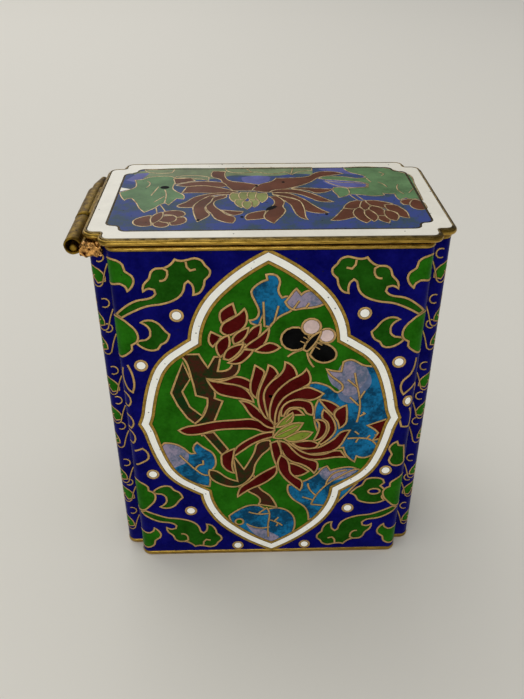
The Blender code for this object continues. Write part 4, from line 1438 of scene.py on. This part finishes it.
def tray_profile(sizes):
    """The lid's tray: a rim of brass below, the half-round, a dark groove, the bead and the tray's inside.
    The groove and the inside are dark brass: grime with painted shade.
    """
    low, high, bead = LID_LOW[2] / MM, LID_HIGH[2] / MM, sizes.lid_bead / MM
    rim, edge, shoulder = -1.2, 0.09, high - 0.25
    stand, floor = (LID_HIGH[0] - CASE_HIGH[0]) / MM, PANEL_LOW[2] / MM - 0.03
    tray = [(rim, low, BRASS)] + half_round(edge + 0.04, stand, low, shoulder, 10)
    tray += [(edge, shoulder - 0.14, GRIME_AND_SHADE), (edge - 0.04, shoulder - 0.02, GRIME_AND_SHADE)]
    return tray + beaded(edge, edge - bead, shoulder, high) + [(edge - bead, floor, GRIME_AND_SHADE)]


class EnamelBoxBands(bpy.types.Operator):
    """Makes the brass bands at the foot and the mouth, and the lid's tray with its band, groove and bead"""

    bl_idname = "enamel_box.bands"
    bl_label = "Brass Bands"

    def execute(self, context):
        sizes = context.scene.enamel_box_sizes
        colours = context.scene.enamel_box_colours
        bright, dark, bead_shade_brass = colours.brass, linear("#4a3216"), linear("#9c8450")
        # In the order of BRASS, GRIME_AND_SHADE, BEAD and COUNTER.
        finishes = (
            worn_brass("Worn gilt brass band", bright, linear("#7c6020"), (0.22, 0.4), 2.5, 0.25, 12.0),
            # Dark brass for the groove, the tops of the bands and the tray's inside: grime with painted shade
            # in its colour.
            worn_brass("Dark brass with grime and painted shade", dark, linear("#1c1208"), (0.5, 0.8), 1.0, 0.3),
            # The bead's brass is a duller copy of the band's: painted shade for the bead's top, which faces
            # the light from above.
            worn_brass("Brass bead darkened with painted shade", bead_shade_brass, linear("#5c4c2c"), (0.3, 0.5), 1.5, 0.3),
            enamel("Counter enamel under the lid", linear("#123a5c"), 0.3),
        )
        for name, profile, node in (
            ("brass_foot", foot_profile(), "foot_band"),
            ("brass_mouth", mouth_profile(sizes), "mouth_band"),
        ):
            bm = swept(case_plan(sizes), profile, True)
            finished(name, bm, finishes[:2], "box", [node])
        bm = swept(lid_plan(sizes), tray_profile(sizes), False)
        finished("brass_lid_tray", bm, finishes, "lid", ["lid_frame"])
        return {"FINISHED"}


def roughen(bm, depth, grain, proud=0.0):
    """Presses hammer and file marks of that depth and size into the surface, or raises it too if proud."""
    bmesh.ops.recalc_face_normals(bm, faces=bm.faces)
    bm.normal_update()
    moves = [vert.normal * depth * min(noise.noise(vert.co / grain), proud) for vert in bm.verts]
    for vert, move in zip(bm.verts, moves):
        vert.co += move


def spun(section, sides, closed):
    """Spins a section of (along, out) about the hinge's axis."""
    bm = bmesh.new()
    verts = [bm.verts.new((HINGE.x, along, HINGE.z + out)) for along, out in section]
    edges = [bm.edges.new(pair) for pair in zip(verts, verts[1:] + verts[:1] if closed else verts[1:])]
    turn = {"cent": HINGE, "axis": (0, 1, 0), "angle": math.tau, "steps": sides, "use_merge": True}
    bmesh.ops.spin(bm, geom=verts + edges, **turn)
    return bm


def hinge_tube(radius, bore, front, rear, slots=14):
    """A tube about the hinge's axis with worn lips, spun from its wall's section."""
    lip = (radius - bore) * 0.35
    length = rear - front
    outside = [(front + lip + (length - 2 * lip) * slot / slots, radius) for slot in range(slots + 1)]
    section = [(front, bore + lip), (front, radius - lip)] + outside
    section += [(rear, radius - lip), (rear, bore + lip)]
    section += [(rear - lip, bore), ((front + rear) / 2, bore), (front + lip, bore)]
    bm = spun(section, 40, True)
    bmesh.ops.recalc_face_normals(bm, faces=bm.faces)
    return bm


def add_leaf(bm, low, high):
    """Adds the plate that joins a hinge tube to the case or the lid, with worn edges."""
    low, high = Vector(low), Vector(high)
    size, middle = high - low, (low + high) / 2
    place = Matrix.Translation(middle) @ Matrix.Diagonal((*size, 1.0))
    verts = bmesh.ops.create_cube(bm, size=1.0, matrix=place)["verts"]
    edges = {edge for vert in verts for edge in vert.link_edges}
    bmesh.ops.bevel(
        bm, geom=list(edges), offset=min(size) * 0.25, affect="EDGES", segments=3, profile=0.5, material=-1
    )


def case_leaf(bm, hinge, radius, front, rear):
    """Adds the plate that joins a tube to the case. It ends in the mouth's band, where it is soldered on."""
    half = hinge.leaf / 2
    add_leaf(bm, (HINGE.x + radius * 0.7, front, HINGE.z - half), (CASE_LOW[0], rear, HINGE.z + half))


def front_tube(hinge):
    """The front tube and its plate, which starts a little behind the tube's open end."""
    start, rear = -hinge.half_length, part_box("front_knuckle")[1][1]
    bm = hinge_tube(hinge.radius, hinge.radius - hinge.wall, start, rear)
    roughen(bm, 0.0001, 0.0011)
    case_leaf(bm, hinge, hinge.radius, start + LEAF_INSET, rear)
    sharpen(bm)
    return bm


def lid_tube(hinge):
    """The middle tube, which turns with the lid, and the plate that joins it to the tray."""
    low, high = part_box("lid_knuckle")
    radius = HINGE.x - low[0]
    bm = hinge_tube(radius, radius - hinge.wall, low[1], high[1])
    roughen(bm, 0.00011, 0.0013)
    add_leaf(bm, (HINGE.x + hinge.radius * 0.6, low[1], HINGE.z), high)
    sharpen(bm)
    return bm


def rear_tube(hinge):
    """The slimmer rear tube and its plate. The tube's end is pinched and leans to the lid."""
    thinner, squeezed, leaning = 0.75, 0.38, 0.25
    low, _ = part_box("rear_knuckle")
    slim, end = HINGE.x - low[0], hinge.half_length
    bm = hinge_tube(slim, slim - hinge.wall * thinner, low[1], end)
    for vert in bm.verts:
        pinch = max(0.0, 1 - (end - vert.co.y) / hinge.pinched)
        vert.co.x += (HINGE.x - vert.co.x) * squeezed * pinch + slim * leaning * pinch
        vert.co.z += (HINGE.z - vert.co.z) * squeezed * pinch
    roughen(bm, 0.00007, 0.0011)
    case_leaf(bm, hinge, slim, low[1], end - LEAF_INSET)
    sharpen(bm)
    return bm


def solder_lump(hinge):
    """The lump that fills the angle between the front tube and the case: a ball pressed towards a block."""
    # How far it reaches onto the case, back along the tube, and up to below the lid.
    onto, along, below = 0.0031, 0.0015, 0.0003
    front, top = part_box("front_knuckle")[0][1], LID_LOW[2] - below
    low = Vector((HINGE.x + hinge.radius * 0.7, front, top - hinge.solder))
    high = Vector((CASE_LOW[0] + onto, front + along, top))
    bm = bmesh.new()
    bmesh.ops.create_icosphere(bm, subdivisions=5, radius=0.5)
    for vert in bm.verts:
        vert.co = [math.copysign(abs(2 * value) ** 0.55 / 2, value) for value in vert.co]
    bmesh.ops.scale(bm, vec=high - low, verts=bm.verts)
    bmesh.ops.translate(bm, vec=(low + high) / 2, verts=bm.verts)
    # Blobs of about 0.8 mm and beads of about 0.3 mm, held within the lump's block.
    roughen(bm, 0.00045, 0.0008, 1.0)
    roughen(bm, 0.00022, 0.0003, 1.0)
    bmesh.ops.smooth_vert(bm, verts=bm.verts, factor=0.4, use_axis_x=True, use_axis_y=True, use_axis_z=True)
    for vert in bm.verts:
        vert.co = [min(max(value, least), most) for value, least, most in zip(vert.co, low, high)]
    bmesh.ops.recalc_face_normals(bm, faces=bm.faces)
    return bm


def hinge_pin(hinge):
    """The loose pin, with a filed front end. Its back end stops inside the pinched end of the rear tube."""
    chamfer, slack, droop = 0.0002, 0.0001, 0.00036
    start, end, radius = -hinge.half_length, hinge.half_length, hinge.pin
    along, back = start + chamfer, end - hinge.pinched * 0.8
    section = [(along, 0.0), (along, radius * 0.6), (along + radius * 0.15, radius * 0.9)]
    section += [(along + radius * 0.4, radius), (back, radius)]
    section += [(back + chamfer, radius * 0.8), (back + chamfer, 0.0)]
    bm = spun(section, 28, False)
    bmesh.ops.remove_doubles(bm, verts=bm.verts, dist=1e-7)
    # The pin hangs a little in the tubes, and lower at the front.
    for vert in bm.verts:
        vert.co.z -= slack + droop * (end - vert.co.y) / (end - start)
    bmesh.ops.recalc_face_normals(bm, faces=bm.faces)
    sharpen(bm)
    return bm


class EnamelBoxHinge(bpy.types.Operator):
    """Makes the three hinge tubes, the loose pin inside them and the rough lump of solder"""

    bl_idname = "enamel_box.hinge"
    bl_label = "Hinge"

    def execute(self, context):
        hinge = context.scene.enamel_box_hinge
        colours = context.scene.enamel_box_colours
        tube = worn_brass("Rolled brass tube", colours.tube, colours.patina, (0.38, 0.6), 1.6, 0.35, pits=1.0)
        # Bright copper and dark red-brown lie at random in patches of about 0.8 mm: the bright is partly
        # painted highlight, the dark is oxide with painted shade of the hollows.
        copper = worn_brass("Copper solder", colours.copper, linear("#300c04"), (0.12, 0.4), 0.8, 0.8)
        for name, bm, finish, body, nodes in (
            ("hinge_tube_front", front_tube(hinge), tube, "box", ["front_knuckle"]),
            ("solder_lump", solder_lump(hinge), copper, "box", []),
            ("hinge_tube_lid", lid_tube(hinge), tube, "lid", ["lid_knuckle"]),
            ("hinge_tube_rear", rear_tube(hinge), tube, "box", ["rear_knuckle"]),
            ("hinge_pin_rod", hinge_pin(hinge), tube, "box", ["hinge_pin"]),
        ):
            finished(name, bm, (finish,), body, nodes)
        return {"FINISHED"}


def lay_floor(scene, colour):
    """The matt pale floor under the box, which also fills the background."""
    bm = bmesh.new()
    bmesh.ops.create_grid(bm, x_segments=1, y_segments=1, size=6.0)
    material, tree = new_material("Matt pale floor")
    shader = add_node(tree, "ShaderNodeBsdfPrincipled", {"Base Color": (*colour, 1.0), "Roughness": 0.7})
    add_node(tree, "ShaderNodeOutputMaterial", {}, {"Surface": shader.outputs["BSDF"]})
    mesh = bpy.data.meshes.new("floor")
    bm.to_mesh(mesh)
    bm.free()
    mesh.materials.append(material)
    floor = bpy.data.objects.new("floor", mesh)
    scene.collection.objects.link(floor)


def even_light(scene, strength, mirrored):
    """The even light of the room. Dark screens round the set make its mirror image fainter in gloss."""
    world = bpy.data.worlds.new("Room light")
    world.use_nodes = True
    background = world.node_tree.nodes["Background"]
    background.inputs["Color"].default_value = (0.93, 0.95, 1.0, 1.0)
    path = add_node(world.node_tree, "ShaderNodeLightPath")
    seen = add_node(
        world.node_tree,
        "ShaderNodeMapRange",
        {"To Min": strength, "To Max": strength * mirrored},
        {"Value": path.outputs["Is Glossy Ray"]},
    )
    world.node_tree.links.new(seen.outputs["Result"], background.inputs["Strength"])
    scene.world = world


def hang_lamp(scene, name, size, energy, place):
    """A square lamp at that place, aimed at the box."""
    lamp = bpy.data.lights.new(name, "AREA")
    lamp.size = size
    lamp.energy = energy
    light = bpy.data.objects.new(name, lamp)
    light.location = place
    light.rotation_euler = (Vector((0, 0, 0.04)) - light.location).to_track_quat("-Z", "Y").to_euler()
    scene.collection.objects.link(light)


def set_camera(scene, studio, place):
    """The camera, at the photograph's viewing angle."""
    lens = bpy.data.cameras.new("camera")
    lens.lens = studio.lens
    lens.sensor_width = 36.0
    lens.clip_start = 0.005
    camera = bpy.data.objects.new("camera", lens)
    camera.location = place
    camera.rotation_euler = (math.pi / 2 - studio.pitch, 0.0, -studio.yaw)
    scene.collection.objects.link(camera)
    scene.camera = camera


class EnamelBoxStage(bpy.types.Operator):
    """Sets the pale floor, the soft light and the camera of the photograph"""

    bl_idname = "enamel_box.stage"
    bl_label = "Studio"

    def execute(self, context):
        scene = context.scene
        studio = scene.enamel_box_studio
        scene.view_settings.view_transform = "Standard"
        lay_floor(scene, studio.floor)
        even_light(scene, studio.world, studio.mirrored)
        # A large window behind and to the left, a broad soft light over the floor, and a weaker one in front.
        hang_lamp(scene, "window", 1.2, studio.window, (-0.45, 0.80, 0.85))
        hang_lamp(scene, "room", 0.9, studio.room, (-0.30, -0.15, 1.10))
        hang_lamp(scene, "front", 0.5, studio.front, (-0.15, -0.85, 0.18))
        set_camera(scene, studio, (-0.00463, -0.1350, 0.1307))
        return {"FINISHED"}


GROUPS = {
    "enamel_box_sizes": EnamelBoxSizes,
    "enamel_box_hinge": EnamelBoxHingeSizes,
    "enamel_box_colours": EnamelBoxColours,
    "enamel_box_studio": EnamelBoxStudio,
}
OPERATORS = (EnamelBoxStage, EnamelBoxCase, EnamelBoxLid, EnamelBoxBands, EnamelBoxHinge)


class EnamelBoxPanel(bpy.types.Panel):
    """Lists the steps that make the box, and its sizes and colours"""

    bl_idname = "VIEW3D_PT_enamel_box"
    bl_label = "Enamel Box"
    bl_space_type = "VIEW_3D"
    bl_region_type = "UI"
    bl_category = "Enamel Box"

    def draw(self, context):
        for operator in OPERATORS:
            self.layout.operator(operator.bl_idname)
        for name, group in GROUPS.items():
            box = self.layout.box()
            for value in group.__annotations__:
                box.prop(getattr(context.scene, name), value)


CLASSES = (*GROUPS.values(), *OPERATORS, EnamelBoxPanel)


def register():
    for made in CLASSES:
        bpy.utils.register_class(made)
    for name, group in GROUPS.items():
        setattr(bpy.types.Scene, name, PointerProperty(type=group))


def unregister():
    for name in GROUPS:
        delattr(bpy.types.Scene, name)
    for made in reversed(CLASSES):
        bpy.utils.unregister_class(made)


def main():
    """Makes the box and its studio."""
    register()
    bpy.ops.enamel_box.stage()
    bpy.ops.enamel_box.case()
    bpy.ops.enamel_box.lid()
    bpy.ops.enamel_box.bands()
    bpy.ops.enamel_box.hinge()


if __name__ == "__main__":
    main()
